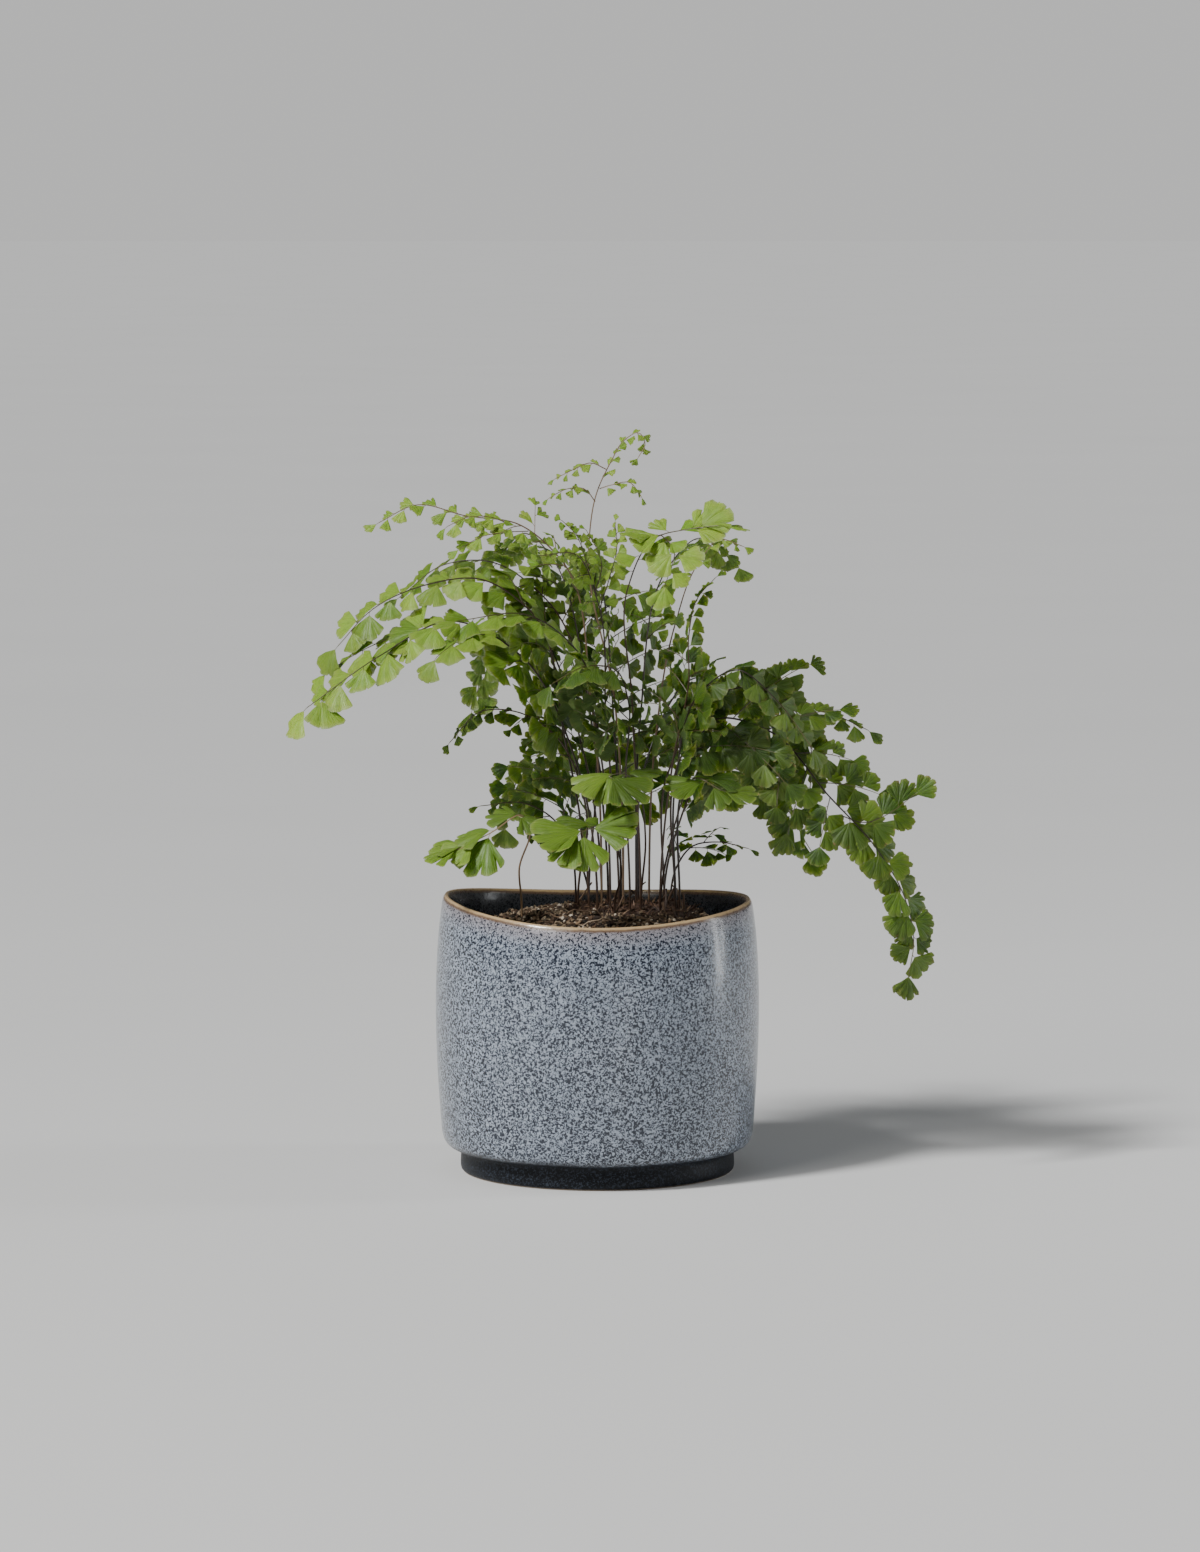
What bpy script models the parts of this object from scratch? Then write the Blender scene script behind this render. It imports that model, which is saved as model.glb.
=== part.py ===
"""A potted maidenhair fern: a glazed one-piece pot, its potting mix, the knobbly rhizome that lies in
the mix, and one piece for each frond, whose wiry stem stands in a plain hole in what it grows from.

Sizes are in millimetres in this file and become metres when a mesh is made. The origin is the middle
of the pot's foot on the surface it stands on, +Z is up and -Y is the side that faces the viewer.
"""

import math

import bpy
import numpy as np
from mathutils.bvhtree import BVHTree

MM = 0.001
CLEARANCE = 0.35  # between two pieces that touch on the real plant

# Pot
POT_HEIGHT = 122.0
POT_RADIUS = 75.0  # at the widest, a little above half height
FOOT_RADIUS = 63.6
FOOT_HEIGHT = 11.2
WALL = 5.2
FLOOR_THICKNESS = 8.0
POT_SIDES = 32
RIM_SWEEP = 6.0  # the rim is lowest in front and behind, and sweeps up to the left and right
RIM_SWEEP_CHANGE = 1.0  # the left end rises this much higher, and the right end this much less
RIM_SWEEP_DEPTH = 42.0  # how far below the rim the sweep dies out

# Potting mix
SOIL_RINGS = 4
SOIL_EDGE_HEIGHT = 108.0
SOIL_MOUND = 10.5
SOIL_TOP = (4.0, -6.0)  # the highest place of the mound (x, y)
SOIL_REACH = 66.0  # how far out the mound falls away
SOIL_RELIEF = 0.9

# Rhizome
RHIZOME_HEIGHT = 115.5
RHIZOME_LUMPS = (  # x, y, radius, half height
    (-4, 4, 14.0, 8.5),
    (9, -10, 13.5, 9.0),
    (10, 10, 13.5, 9.5),
    (22, -6, 14.0, 10.0),
    (33, -11, 12.0, 8.5),
    (33, 8, 13.0, 9.0),
)
RHIZOME_RINGS = 3
RHIZOME_SIDES = 7
RHIZOME_CORE = 0.8  # a stem this near a lump's middle, as a share of its radius, stands in it
RECESS_RISE = 20.0  # the recess for the rhizome is cut this far up, so that it is open to the top

# Stems
STEM_FOOT_IN_RHIZOME = 113.0
STEM_FOOT_IN_SOIL = 98.0
STEM_FREE_HEIGHT = 127.0  # up to here a stem rises straight out of its hole
STEM_RADIUS_FOOT = 1.05
STEM_RADIUS_TIP = 0.75
STEM_SIDES = 3
STEM_RING_STEP = 22.0
STEM_LEAST_RINGS = 4
STEM_SPACE = 3.0  # the least distance between the middle lines of two stems
STEM_LAP = 5.0  # how far a stem runs on inside the foot of its leafy end
HOLE_RISE = 3.0  # how far a stem's hole is cut on above the straight part of the stem
PATH_STEP = 2.0
PATH_LEAST_STEPS = 8
CURVE_STEPS = 24  # between two points of a stem's run, before it is divided evenly
PUSH_ROUNDS = 30
PUSH_SPREAD = np.exp(-(np.arange(-6, 7) ** 2) / 12.0)  # how a push is shared with the path's next points
PUSH_RAMP = 10.0  # above the straight part of a stem a push grows to its full size over this height

# Leafy blades
BLADE_THICKNESS = 0.8
RIB_WIDTH = 1.2
LEAF_BASE = 1.2  # width of a leaflet where it joins its rib
RIB_STEP = 17.0  # a longer stretch of a rib's edge gets a corner halfway
LEAF_STALK = 0.14  # the share of a leaflet's length that is its stalk
LEAF_OPENING = math.radians(20)  # between the rib and the near edge of a leaflet
LEAF_TAPER = 0.36  # how much shorter the last leaflet is than the first
LEAF_WAVE = 0.06  # the wave of a leaflet's edge, as a share of its length
LEAF_DROOP = 0.18  # how far a leaflet hangs below its rib's plane, in radians, and how much that varies
LEAF_DROOP_CHANGE = 0.10
END_LEAF_ROOM = 0.78  # the last leaflet on a side stays this share of its length from the end
END_LEAF_WIDTH = 0.8  # the leaflet that ends a blade is narrower than the others
END_BLADE_STEPS = 24
END_BLADE_BARE = 5.0  # bare rib below the first leaflet
END_BLADE_SIZES = (1.0, 0.85, 0.7, 0.55)  # tried in turn until the leaflets are clear of the rest
END_BLADE_TURNS = (0, 15, -15, 30, -30, 50, -50, 75, -75)  # degrees about the rib, tried in turn

# Side blades
PINNA_SLANT = math.radians(56)  # between a side blade and its stem
PINNA_DROOP = 0.55
PINNA_STEPS = 12
PINNA_BARE = 4.5
PINNA_BELOW = 2.0  # from the foot of the leafy end down to the highest side blade
PINNA_SPAN = (0.45, 12.0)  # they stand over this share of the leafy end's length and this much more,
PINNA_SPAN_MOST = 0.5  # and at most over this share of the stem
PINNA_CLEAR_HEIGHT = 40.0  # that is this far or more from its foot
PINNA_TAPER = 0.3  # how much shorter the highest side blade is than the lowest
PINNA_LEAF = (0.72, 0.18)  # leaflet size against the leafy end's: this, and this times the blade's size
PINNA_SIZES = (1.0, 0.8, 0.62)
PINNA_TURNS = (0, 12, -12, 24, -24, 38, -38, 55, -55)

# Leaflet outlines: half of the fan's angle, how round it is (0 a wedge, 1 a disc), the distance to the
# next leaflet as a share of its length, and the length of each outer point as a share of it, so that a
# dip is the notch between two lobes
OUTLINES = {
    "small": (math.radians(42), 0.30, 0.86, (0.94, 1.02, 0.98, 0.90)),
    "fan": (math.radians(48), 0.40, 0.84, (0.96, 1.00, 0.84, 1.00, 0.92)),
    "round": (math.radians(62), 0.72, 0.80, (0.96, 1.02, 0.90, 1.02, 0.96)),
    "lobed": (math.radians(54), 0.45, 0.86, (0.98, 1.02, 0.78, 1.04, 0.78, 1.02, 0.94)),
}

# One row for each frond, laid out by hand. foot is where its stem leaves the crown (x, y); way is the
# run of its stem from above the crown to its tip; blade is the length of the leafy end, measured back
# from the tip; leaf is the length of its leaflets; sides is the number of side blades below the leafy
# end and reach is the length of the longest; face is the way that the leaflets look.
LEFT_UP = (-0.35, -0.35, 1.0)
RIGHT_UP = (0.35, -0.35, 1.0)
FRONT_UP = (0.0, -0.8, 0.7)
VIEWER = (0.15, -1.0, 0.35)
BACK_UP = (0.0, 0.5, 1.0)
FRONDS = (
    dict(
        name="frond_left_low_arch", foot=(0, -8),
        way=((-10, -5, 191), (-36, -12, 241), (-67, -22, 257), (-99, -32, 242), (-134, -40, 217)),
        blade=96, leaf=13.5, sides=2, reach=34, face=LEFT_UP, outline="fan",
    ),
    dict(
        name="frond_left_high_arch", foot=(-4, -2),
        way=(
            (-15, 5, 200), (-31, 0, 260), (-54, -5, 275), (-77, -8, 273),
            (-104, -12, 261), (-121, -15, 243),
        ),
        blade=74, leaf=11.5, sides=2, reach=28, face=LEFT_UP, outline="fan",
    ),
    dict(
        name="frond_left_back_arch", foot=(-4, 8),
        way=((-3, 15, 217), (-24, 20, 264), (-50, 25, 281), (-72, 30, 279), (-94, 34, 262)),
        blade=56, leaf=10.5, sides=2, reach=26, face=LEFT_UP, outline="fan",
    ),
    dict(
        name="frond_left_young", foot=(2, 3),
        way=(
            (-3, 8, 218), (-17, 12, 283), (-36, 12, 299), (-61, 14, 303),
            (-84, 14, 308), (-101, 12, 300),
        ),
        blade=66, leaf=8.5, sides=2, reach=20, face=FRONT_UP, outline="small",
    ),
    dict(
        name="frond_top_young", foot=(12, 2),
        way=((8, 4, 218), (-2, 6, 290), (1, 6, 315), (7, 5, 329), (15, 4, 340), (25, 2, 339)),
        blade=30, leaf=7.0, sides=2, reach=20, face=VIEWER, outline="small",
    ),
    dict(
        name="frond_upper_right", foot=(20, -8),
        way=((16, -8, 219), (14, -18, 272), (27, -30, 296), (45, -38, 304), (64, -42, 301)),
        blade=48, leaf=13.0, sides=3, reach=34, face=VIEWER, outline="round",
    ),
    dict(
        name="frond_top_middle", foot=(10, -9),
        way=((4, -6, 210), (0, -18, 266), (-10, -28, 288), (-26, -38, 288)),
        blade=34, leaf=10.5, sides=2, reach=24, face=FRONT_UP, outline="fan",
    ),
    dict(
        name="frond_middle_left_front", foot=(6, -14),
        way=((2, -17, 192), (-10, -32, 245), (-33, -47, 262), (-64, -58, 260)),
        blade=58, leaf=13.0, sides=2, reach=26, face=FRONT_UP, outline="fan",
    ),
    dict(
        name="frond_middle_front", foot=(15, -16),
        way=((13, -22, 188), (14, -36, 222), (8, -48, 237), (-6, -57, 239), (-20, -63, 232)),
        blade=36, leaf=12.5, sides=2, reach=22, face=FRONT_UP, outline="fan",
    ),
    dict(
        name="frond_dark_left", foot=(-9, 3),
        way=((-6, 0, 172), (-20, -2, 203), (-38, -6, 214), (-54, -8, 214), (-68, -10, 200)),
        blade=46, leaf=10.0, sides=2, reach=24, face=LEFT_UP, outline="small",
    ),
    dict(
        name="frond_low_front_middle", foot=(20, -16),
        way=((22, -28, 158), (19, -40, 180), (11, -52, 189), (0, -60, 188)),
        blade=36, leaf=20.0, sides=1, reach=26, face=FRONT_UP, outline="lobed",
    ),
    dict(
        name="frond_low_front", foot=(8, -19.5),
        way=((11, -34, 142), (7, -48, 160), (-3, -60, 166), (-15, -67, 163)),
        blade=42, leaf=21.0, sides=1, reach=26, face=FRONT_UP, outline="lobed",
    ),
    dict(
        name="frond_low_right", foot=(29, -14),
        way=((34, -22, 157), (40, -32, 178), (48, -41, 186), (64, -48, 178)),
        blade=38, leaf=16.5, sides=1, reach=24, face=FRONT_UP, outline="lobed",
    ),
    dict(
        name="frond_low_left", foot=(-35, -12),
        way=((-36, -17, 142), (-31, -26, 161), (-36, -35, 168), (-52, -42, 161), (-68, -46, 153)),
        blade=40, leaf=17.0, sides=1, reach=22, face=FRONT_UP, outline="lobed",
    ),
    dict(
        name="frond_low_left_back", foot=(-10, 10),
        way=((-13, 8, 150), (-21, 8, 163), (-34, 7, 170), (-54, 5, 169)),
        blade=30, leaf=10.0, sides=1, reach=16, face=LEFT_UP, outline="small",
    ),
    dict(
        name="frond_right_upright", foot=(29, -5),
        way=((35, -8, 192), (42, -12, 229), (42, -14, 250), (46, -14, 267), (54, -12, 276)),
        blade=34, leaf=9.5, sides=2, reach=22, face=VIEWER, outline="small",
    ),
    dict(
        name="frond_right_thin_tip", foot=(24, 8),
        way=((27, 14, 199), (36, 18, 252), (47, 18, 281), (57, 16, 292), (67, 14, 289)),
        blade=26, leaf=7.5, sides=1, reach=20, face=FRONT_UP, outline="small",
    ),
    dict(
        name="frond_right_arch", foot=(38, -6),
        way=(
            (40, -8, 182), (55, -12, 213), (79, -18, 213), (107, -26, 184),
            (129, -32, 155), (143, -34, 130), (146, -32, 107), (142, -30, 86),
        ),
        blade=118, leaf=13.5, sides=2, reach=38, face=VIEWER, outline="round",
    ),
    dict(
        name="frond_right_middle", foot=(36, 3),
        way=((38, 5, 190), (56, 9, 217), (78, 12, 222), (103, 12, 214), (125, 10, 204)),
        blade=58, leaf=10.0, sides=1, reach=26, face=RIGHT_UP, outline="fan",
    ),
    dict(
        name="frond_right_hanging", foot=(31, 1),
        way=((33, -1, 186), (58, -3, 223), (82, -4, 223), (97, -6, 203), (98, -8, 172)),
        blade=62, leaf=10.5, sides=2, reach=28, face=VIEWER, outline="round",
    ),
    dict(
        name="frond_right_front", foot=(36, -13),
        way=((36, -17, 183), (48, -30, 226), (63, -38, 236), (82, -44, 222), (97, -48, 202)),
        blade=54, leaf=11.0, sides=2, reach=26, face=VIEWER, outline="fan",
    ),
    dict(
        name="frond_right_low", foot=(34, 10),
        way=((37, 12, 140), (44, 14, 149), (56, 15, 151), (70, 15, 148)),
        blade=28, leaf=10.0, sides=1, reach=16, face=RIGHT_UP, outline="small",
    ),
    dict(
        name="frond_back_left_arch", foot=(2, 14),
        way=((-6, 24, 190), (-30, 50, 248), (-48, 78, 240), (-60, 102, 205)),
        blade=84, leaf=12.5, sides=2, reach=32, face=BACK_UP, outline="fan",
    ),
    dict(
        name="frond_back_tall", foot=(11, 12),
        way=((8, 22, 200), (2, 46, 268), (-4, 76, 283), (-8, 106, 262)),
        blade=70, leaf=12.0, sides=2, reach=30, face=BACK_UP, outline="fan",
    ),
    dict(
        name="frond_back_right_arch", foot=(19, 14),
        way=((22, 24, 185), (44, 48, 224), (70, 76, 216), (92, 98, 182)),
        blade=86, leaf=12.5, sides=2, reach=32, face=BACK_UP, outline="round",
    ),
    dict(
        name="frond_back_low_left", foot=(-4, 14),
        way=((-12, 28, 150), (-24, 50, 184), (-36, 74, 178), (-44, 94, 150)),
        blade=52, leaf=12.5, sides=2, reach=24, face=BACK_UP, outline="lobed",
    ),
    dict(
        name="frond_back_low_middle", foot=(12, 19),
        way=((12, 32, 152), (8, 54, 198), (10, 82, 192), (12, 106, 162)),
        blade=56, leaf=12.5, sides=2, reach=26, face=BACK_UP, outline="fan",
    ),
    dict(
        name="frond_back_low_right", foot=(31, 16),
        way=((36, 24, 152), (54, 36, 184), (80, 48, 174), (101, 56, 142)),
        blade=52, leaf=12.5, sides=2, reach=24, face=BACK_UP, outline="lobed",
    ),
    dict(
        name="frond_back_right_high", foot=(18, 5),
        way=((20, 14, 210), (32, 36, 276), (48, 56, 290), (66, 74, 276)),
        blade=46, leaf=10.5, sides=2, reach=26, face=BACK_UP, outline="fan",
    ),
    dict(
        name="frond_back_left_high", foot=(5, 8),
        way=((-4, 18, 215), (-20, 38, 280), (-34, 60, 292), (-50, 82, 278)),
        blade=48, leaf=10.5, sides=2, reach=26, face=BACK_UP, outline="fan",
    ),
)


def unit(vectors):
    """The vectors at length 1, one or a whole array of them."""
    vectors = np.asarray(vectors, float)
    return vectors / np.maximum(np.linalg.norm(vectors, axis=-1, keepdims=True), 1e-9)


def material(name, colour, roughness, coat=0.0):
    finish = bpy.data.materials.new(name)
    finish.use_nodes = True
    shader = finish.node_tree.nodes["Principled BSDF"]
    shader.inputs["Base Color"].default_value = (*colour, 1.0)
    shader.inputs["Roughness"].default_value = roughness
    shader.inputs["Metallic"].default_value = 0.0
    shader.inputs["Coat Weight"].default_value = coat
    finish.diffuse_color = (*colour, 1.0)
    return finish


def mesh_object(name, points, faces, finish):
    """An object at the origin whose mesh has these points, given in millimetres."""
    mesh = bpy.data.meshes.new(name)
    mesh.from_pydata((np.asarray(points) * MM).tolist(), [], [list(map(int, face)) for face in faces])
    mesh.materials.append(finish)
    mesh.update()
    item = bpy.data.objects.new(name, mesh)
    bpy.context.scene.collection.objects.link(item)
    return item


def combine(target, others, operation):
    """Joins the other objects to the target, or cuts them from it, and removes them."""
    group = bpy.data.collections.new("to_combine")
    bpy.context.scene.collection.children.link(group)
    for other in others:
        bpy.context.scene.collection.objects.unlink(other)
        group.objects.link(other)
    step = target.modifiers.new("combine", "BOOLEAN")
    step.operation = operation
    step.operand_type = "COLLECTION"
    step.collection = group
    step.solver = "MANIFOLD"
    bpy.context.view_layer.update()
    graph = bpy.context.evaluated_depsgraph_get()
    result = bpy.data.meshes.new_from_object(target.evaluated_get(graph))
    target.modifiers.clear()
    target.data = result
    for other in others:
        bpy.data.objects.remove(other)
    bpy.data.collections.remove(group)


def ring_grid(rings, sides, ends=True):
    """Faces between rings of points that follow each other, with a flat cap on each end."""
    faces = []
    for ring in range(rings - 1):
        for side in range(sides):
            a = ring * sides + side
            b = ring * sides + (side + 1) % sides
            faces.append((a, b, b + sides, a + sides))
    if ends:
        faces.append(tuple(reversed(range(sides))))
        faces.append(tuple(range((rings - 1) * sides, rings * sides)))
    return faces


def rim_rise(angle, height):
    """How far the pot's uneven rim lifts a point of its wall."""
    share = np.clip((height - POT_HEIGHT) / RIM_SWEEP_DEPTH + 1, 0, 1) ** 2
    return share * (1 + np.cos(2 * angle)) / 2 * (RIM_SWEEP - RIM_SWEEP_CHANGE * np.cos(angle))


def turned(profile, sides, lift=None):
    """A profile of (radius, height) turned about the upright axis, from the underside's centre out,
    up the outside and down the inside to the floor's centre."""
    profile = np.array(profile, float)
    angle = np.arange(sides) * 2 * math.pi / sides
    radius = profile[1:-1, 0, None]
    height = np.repeat(profile[1:-1, 1, None], sides, axis=1)
    if lift is not None:
        height = height + lift(angle, height)
    rings = np.stack([radius * np.cos(angle), radius * np.sin(angle), height], axis=-1)
    count = len(rings)
    points = np.vstack([rings.reshape(-1, 3), (0, 0, profile[0, 1]), (0, 0, profile[-1, 1])])
    faces = ring_grid(count, sides, ends=False)
    first, last = count * sides, count * sides + 1
    for side in range(sides):
        follow = (side + 1) % sides
        faces.append((first, follow, side))
        faces.append((last, (count - 1) * sides + side, (count - 1) * sides + follow))
    return points, faces


def pot_inside():
    """The inside of the pot from its mouth down to the floor's centre."""
    return [
        (66.6, 116.0), (POT_RADIUS - WALL, 74.0), (66.8, 24.0), (58.0, FLOOR_THICKNESS + 3.0),
        (50.0, FLOOR_THICKNESS), (0, FLOOR_THICKNESS),
    ]


def pot_profile():
    outside = [
        (0, 0), (FOOT_RADIUS - 1.0, 0), (FOOT_RADIUS, 1.0), (FOOT_RADIUS, FOOT_HEIGHT),
        (67.5, FOOT_HEIGHT + 1.0), (70.8, 15.4), (72.9, 27.0), (POT_RADIUS, 74.0), (74.4, 97.0),
        (72.9, 114.0),
    ]
    rim = [(70.9, POT_HEIGHT - 0.8), (68.9, POT_HEIGHT), (66.9, POT_HEIGHT - 1.4)]
    return outside + rim + pot_inside()


def inner_radius(height):
    """The radius of the pot's inside at a height, from its profile."""
    radii, heights = zip(*reversed(pot_inside()[:-1]))
    return float(np.interp(height, heights, radii))


def soil_height(x, y):
    """The mix is mounded under the crown and falls away to the wall, with small lumps."""
    share = np.hypot(x - SOIL_TOP[0], y - SOIL_TOP[1]) / SOIL_REACH
    mound = SOIL_EDGE_HEIGHT + SOIL_MOUND * np.clip(1 - share**3, 0, 1)
    lumps = np.sin(0.37 * x + 0.6) * np.cos(0.41 * y - 1.1) + 0.7 * np.sin(0.83 * x - 0.55 * y)
    return mound + SOIL_RELIEF * lumps


def soil_solid():
    """A plug that fills the pot's inside: its wall, and a top of rings whose height is a formula."""
    bottom = FLOOR_THICKNESS + CLEARANCE
    heights = (bottom, FLOOR_THICKNESS + 3.0 + CLEARANCE, 24.0, 74.0, SOIL_EDGE_HEIGHT - 2.5)
    radii = [inner_radius(height) - CLEARANCE for height in heights]
    angle = np.arange(POT_SIDES) * 2 * math.pi / POT_SIDES
    ring = np.stack([np.cos(angle), np.sin(angle)], axis=-1)
    rows = [
        np.column_stack([ring * radius, np.full(POT_SIDES, height)])
        for radius, height in zip(radii, heights)
    ]
    for step in range(SOIL_RINGS):
        flat = ring * (radii[-1] - 0.4) * (1 - step / SOIL_RINGS)
        rows.append(np.column_stack([flat, soil_height(flat[:, 0], flat[:, 1])]))
    points = np.vstack(rows + [[(0, 0, soil_height(0, 0))]])
    faces = ring_grid(len(rows), POT_SIDES, ends=False)
    top, last = len(points) - 1, (len(rows) - 1) * POT_SIDES
    faces.append(tuple(reversed(range(POT_SIDES))))
    for side in range(POT_SIDES):
        faces.append((top, last + side, last + (side + 1) % POT_SIDES))
    return points, faces


def lump(x, y, radius, half_height, grow, rise):
    """One knob of the rhizome: a flattened ball of rings, dented by a formula. rise lifts its upper half,
    so that what it cuts is open to the top."""
    tilt = np.linspace(0, math.pi, RHIZOME_RINGS + 2)[1:-1, None]
    angle = np.arange(RHIZOME_SIDES) * 2 * math.pi / RHIZOME_SIDES
    dent = 1 + 0.08 * np.sin(3 * angle + x) * np.sin(2 * tilt + y)
    flat = np.sin(tilt) * dent * (radius + grow)
    height = -np.cos(tilt) * (half_height + grow) * np.ones(RHIZOME_SIDES)
    height[-1] += rise
    grid = np.stack([x + flat * np.cos(angle), y + flat * np.sin(angle), RHIZOME_HEIGHT + height], axis=-1)
    if rise:
        grid[-1, :, :2] = grid[-2, :, :2]
    lowest = RHIZOME_HEIGHT - half_height - grow
    highest = RHIZOME_HEIGHT + half_height + grow + rise
    points = np.vstack([grid.reshape(-1, 3), [(x, y, lowest), (x, y, highest)]])
    faces = ring_grid(RHIZOME_RINGS, RHIZOME_SIDES, ends=False)
    low, high = RHIZOME_RINGS * RHIZOME_SIDES, RHIZOME_RINGS * RHIZOME_SIDES + 1
    for side in range(RHIZOME_SIDES):
        follow = (side + 1) % RHIZOME_SIDES
        faces.append((low, follow, side))
        faces.append((high, high - 1 - RHIZOME_SIDES + side, high - 1 - RHIZOME_SIDES + follow))
    return points, faces


def rhizome_solid(name, finish, grow=0.0, rise=0.0):
    lumps = []
    for index, (x, y, radius, half_height) in enumerate(RHIZOME_LUMPS):
        points, faces = lump(x, y, radius, half_height, grow, rise)
        lumps.append(mesh_object(name if index == 0 else f"lump_{index}", points, faces, finish))
    combine(lumps[0], lumps[1:], "UNION")
    return lumps[0]


def along(points, distances):
    """Points at these distances along a line of points."""
    lengths = np.concatenate([[0], np.cumsum(np.linalg.norm(np.diff(points, axis=0), axis=1))])
    return np.stack([np.interp(distances, lengths, points[:, axis]) for axis in range(3)], axis=-1)


def length_of(points):
    return float(np.linalg.norm(np.diff(points, axis=0), axis=1).sum())


def smooth(points):
    """A smooth curve through the points, divided evenly: between two of them it is the cubic that
    leaves and arrives along the average of the directions of the chords that meet there."""
    points = np.array(points, float)
    chord = np.linalg.norm(np.diff(points, axis=0), axis=1)
    slope = np.diff(points, axis=0) / chord[:, None]
    inner = slope[:-1] * chord[1:, None] + slope[1:] * chord[:-1, None]
    inner /= (chord[1:] + chord[:-1])[:, None]
    tangent = np.vstack([slope[:1], inner, slope[-1:]])
    place = np.linspace(0, len(chord), CURVE_STEPS * len(chord) + 1)
    index = np.minimum(place.astype(int), len(chord) - 1)
    t = (place - index)[:, None]
    span = chord[index][:, None]
    curve = (
        (2 * t**3 - 3 * t**2 + 1) * points[index]
        + (t**3 - 2 * t**2 + t) * span * tangent[index]
        + (3 * t**2 - 2 * t**3) * points[index + 1]
        + (t**3 - t**2) * span * tangent[index + 1]
    )
    total = length_of(curve)
    steps = max(PATH_LEAST_STEPS, round(total / PATH_STEP))
    return along(curve, np.linspace(0, total, steps + 1))


def in_rhizome(frond):
    x, y = frond["foot"]
    return any(math.hypot(x - row[0], y - row[1]) < RHIZOME_CORE * row[2] for row in RHIZOME_LUMPS)


def stem_paths():
    """The middle line of each frond's stem. Stems that pass too near each other are pushed apart, a
    little at a time, and the push is spread along the stem so that it stays a smooth curve."""
    paths = []
    for frond in FRONDS:
        x, y = frond["foot"]
        foot = STEM_FOOT_IN_RHIZOME if in_rhizome(frond) else STEM_FOOT_IN_SOIL
        paths.append(smooth([(x, y, foot), (x, y, STEM_FREE_HEIGHT), *frond["way"]]))
    for _ in range(PUSH_ROUNDS):
        push = [np.zeros_like(path) for path in paths]
        moved = False
        for i, first in enumerate(paths):
            for j in range(i + 1, len(paths)):
                gap = first[:, None] - paths[j][None]
                distance = np.linalg.norm(gap, axis=-1)
                a, b = np.unravel_index(distance.argmin(), distance.shape)
                short = STEM_SPACE - distance[a, b]
                if short <= 0:
                    continue
                moved = True
                away = gap[a, b] / max(distance[a, b], 1e-6) * (short / 2 + 0.1)
                push[i][a] += away
                push[j][b] -= away
        if not moved:
            break
        for path, shift in zip(paths, push):
            columns = [np.convolve(shift[:, axis], PUSH_SPREAD, mode="same") for axis in range(3)]
            path += np.stack(columns, axis=-1) * np.clip((path[:, 2:] - STEM_FREE_HEIGHT) / PUSH_RAMP, 0, 1)
    return paths


def directions(path):
    """The direction of travel at each point of a path."""
    return unit(np.gradient(path, axis=0))


def carried(forward, vector, start):
    """A direction square to a path, set at one of its points and carried along it both ways without
    turning round it."""
    square = np.zeros_like(forward)
    square[start] = unit(vector - forward[start] * (vector @ forward[start]))
    for index in range(start + 1, len(forward)):
        last = square[index - 1]
        square[index] = unit(last - forward[index] * (last @ forward[index]))
    for index in range(start - 1, -1, -1):
        last = square[index + 1]
        square[index] = unit(last - forward[index] * (last @ forward[index]))
    return square


def tube(path, radius_start, radius_end, sides):
    """A closed tube along a path, whose corners keep their place round it from end to end."""
    forward = directions(path)
    across = carried(forward, np.array((1.0, 0.0, 0.0)), 0)
    other = np.cross(forward, across)
    angle = (np.arange(sides) + 0.5) * 2 * math.pi / sides
    radius = np.linspace(radius_start, radius_end, len(path))[:, None, None]
    circle = across[:, None] * np.cos(angle)[:, None] + other[:, None] * np.sin(angle)[:, None]
    return (path[:, None] + circle * radius).reshape(-1, 3), ring_grid(len(path), sides)


def leaflet_outline(outline, length, centre, axis, cross, normal, narrow):
    """The outer points of a leaflet: a fan of lobes about its base, with a slight wave to the edge."""
    half_angle, roundness, _, lobes = OUTLINES[outline]
    turn = np.linspace(-half_angle, half_angle, len(lobes))
    reach = (1 - LEAF_STALK) * length * np.array(lobes) * (1 - roundness + roundness * np.cos(turn))
    turn = turn * narrow
    wave = LEAF_WAVE * length * np.cos(2.2 * turn + 0.5)
    return (
        centre
        + (LEAF_STALK * length + reach * np.cos(turn))[:, None] * axis
        + (reach * np.sin(turn))[:, None] * cross
        + wave[:, None] * normal
    )


def leaf_places(total, leaf, outline, bare):
    """How far along the rib each leaflet stands, and its length: smaller towards the tip."""
    share = OUTLINES[outline][2]
    places = []
    distance = bare
    size = leaf
    while distance < total - END_LEAF_ROOM * size:
        size = leaf * (1.0 - LEAF_TAPER * (distance / total) ** 2)
        places.append((distance, size))
        distance += share * size
    return places, size


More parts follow.
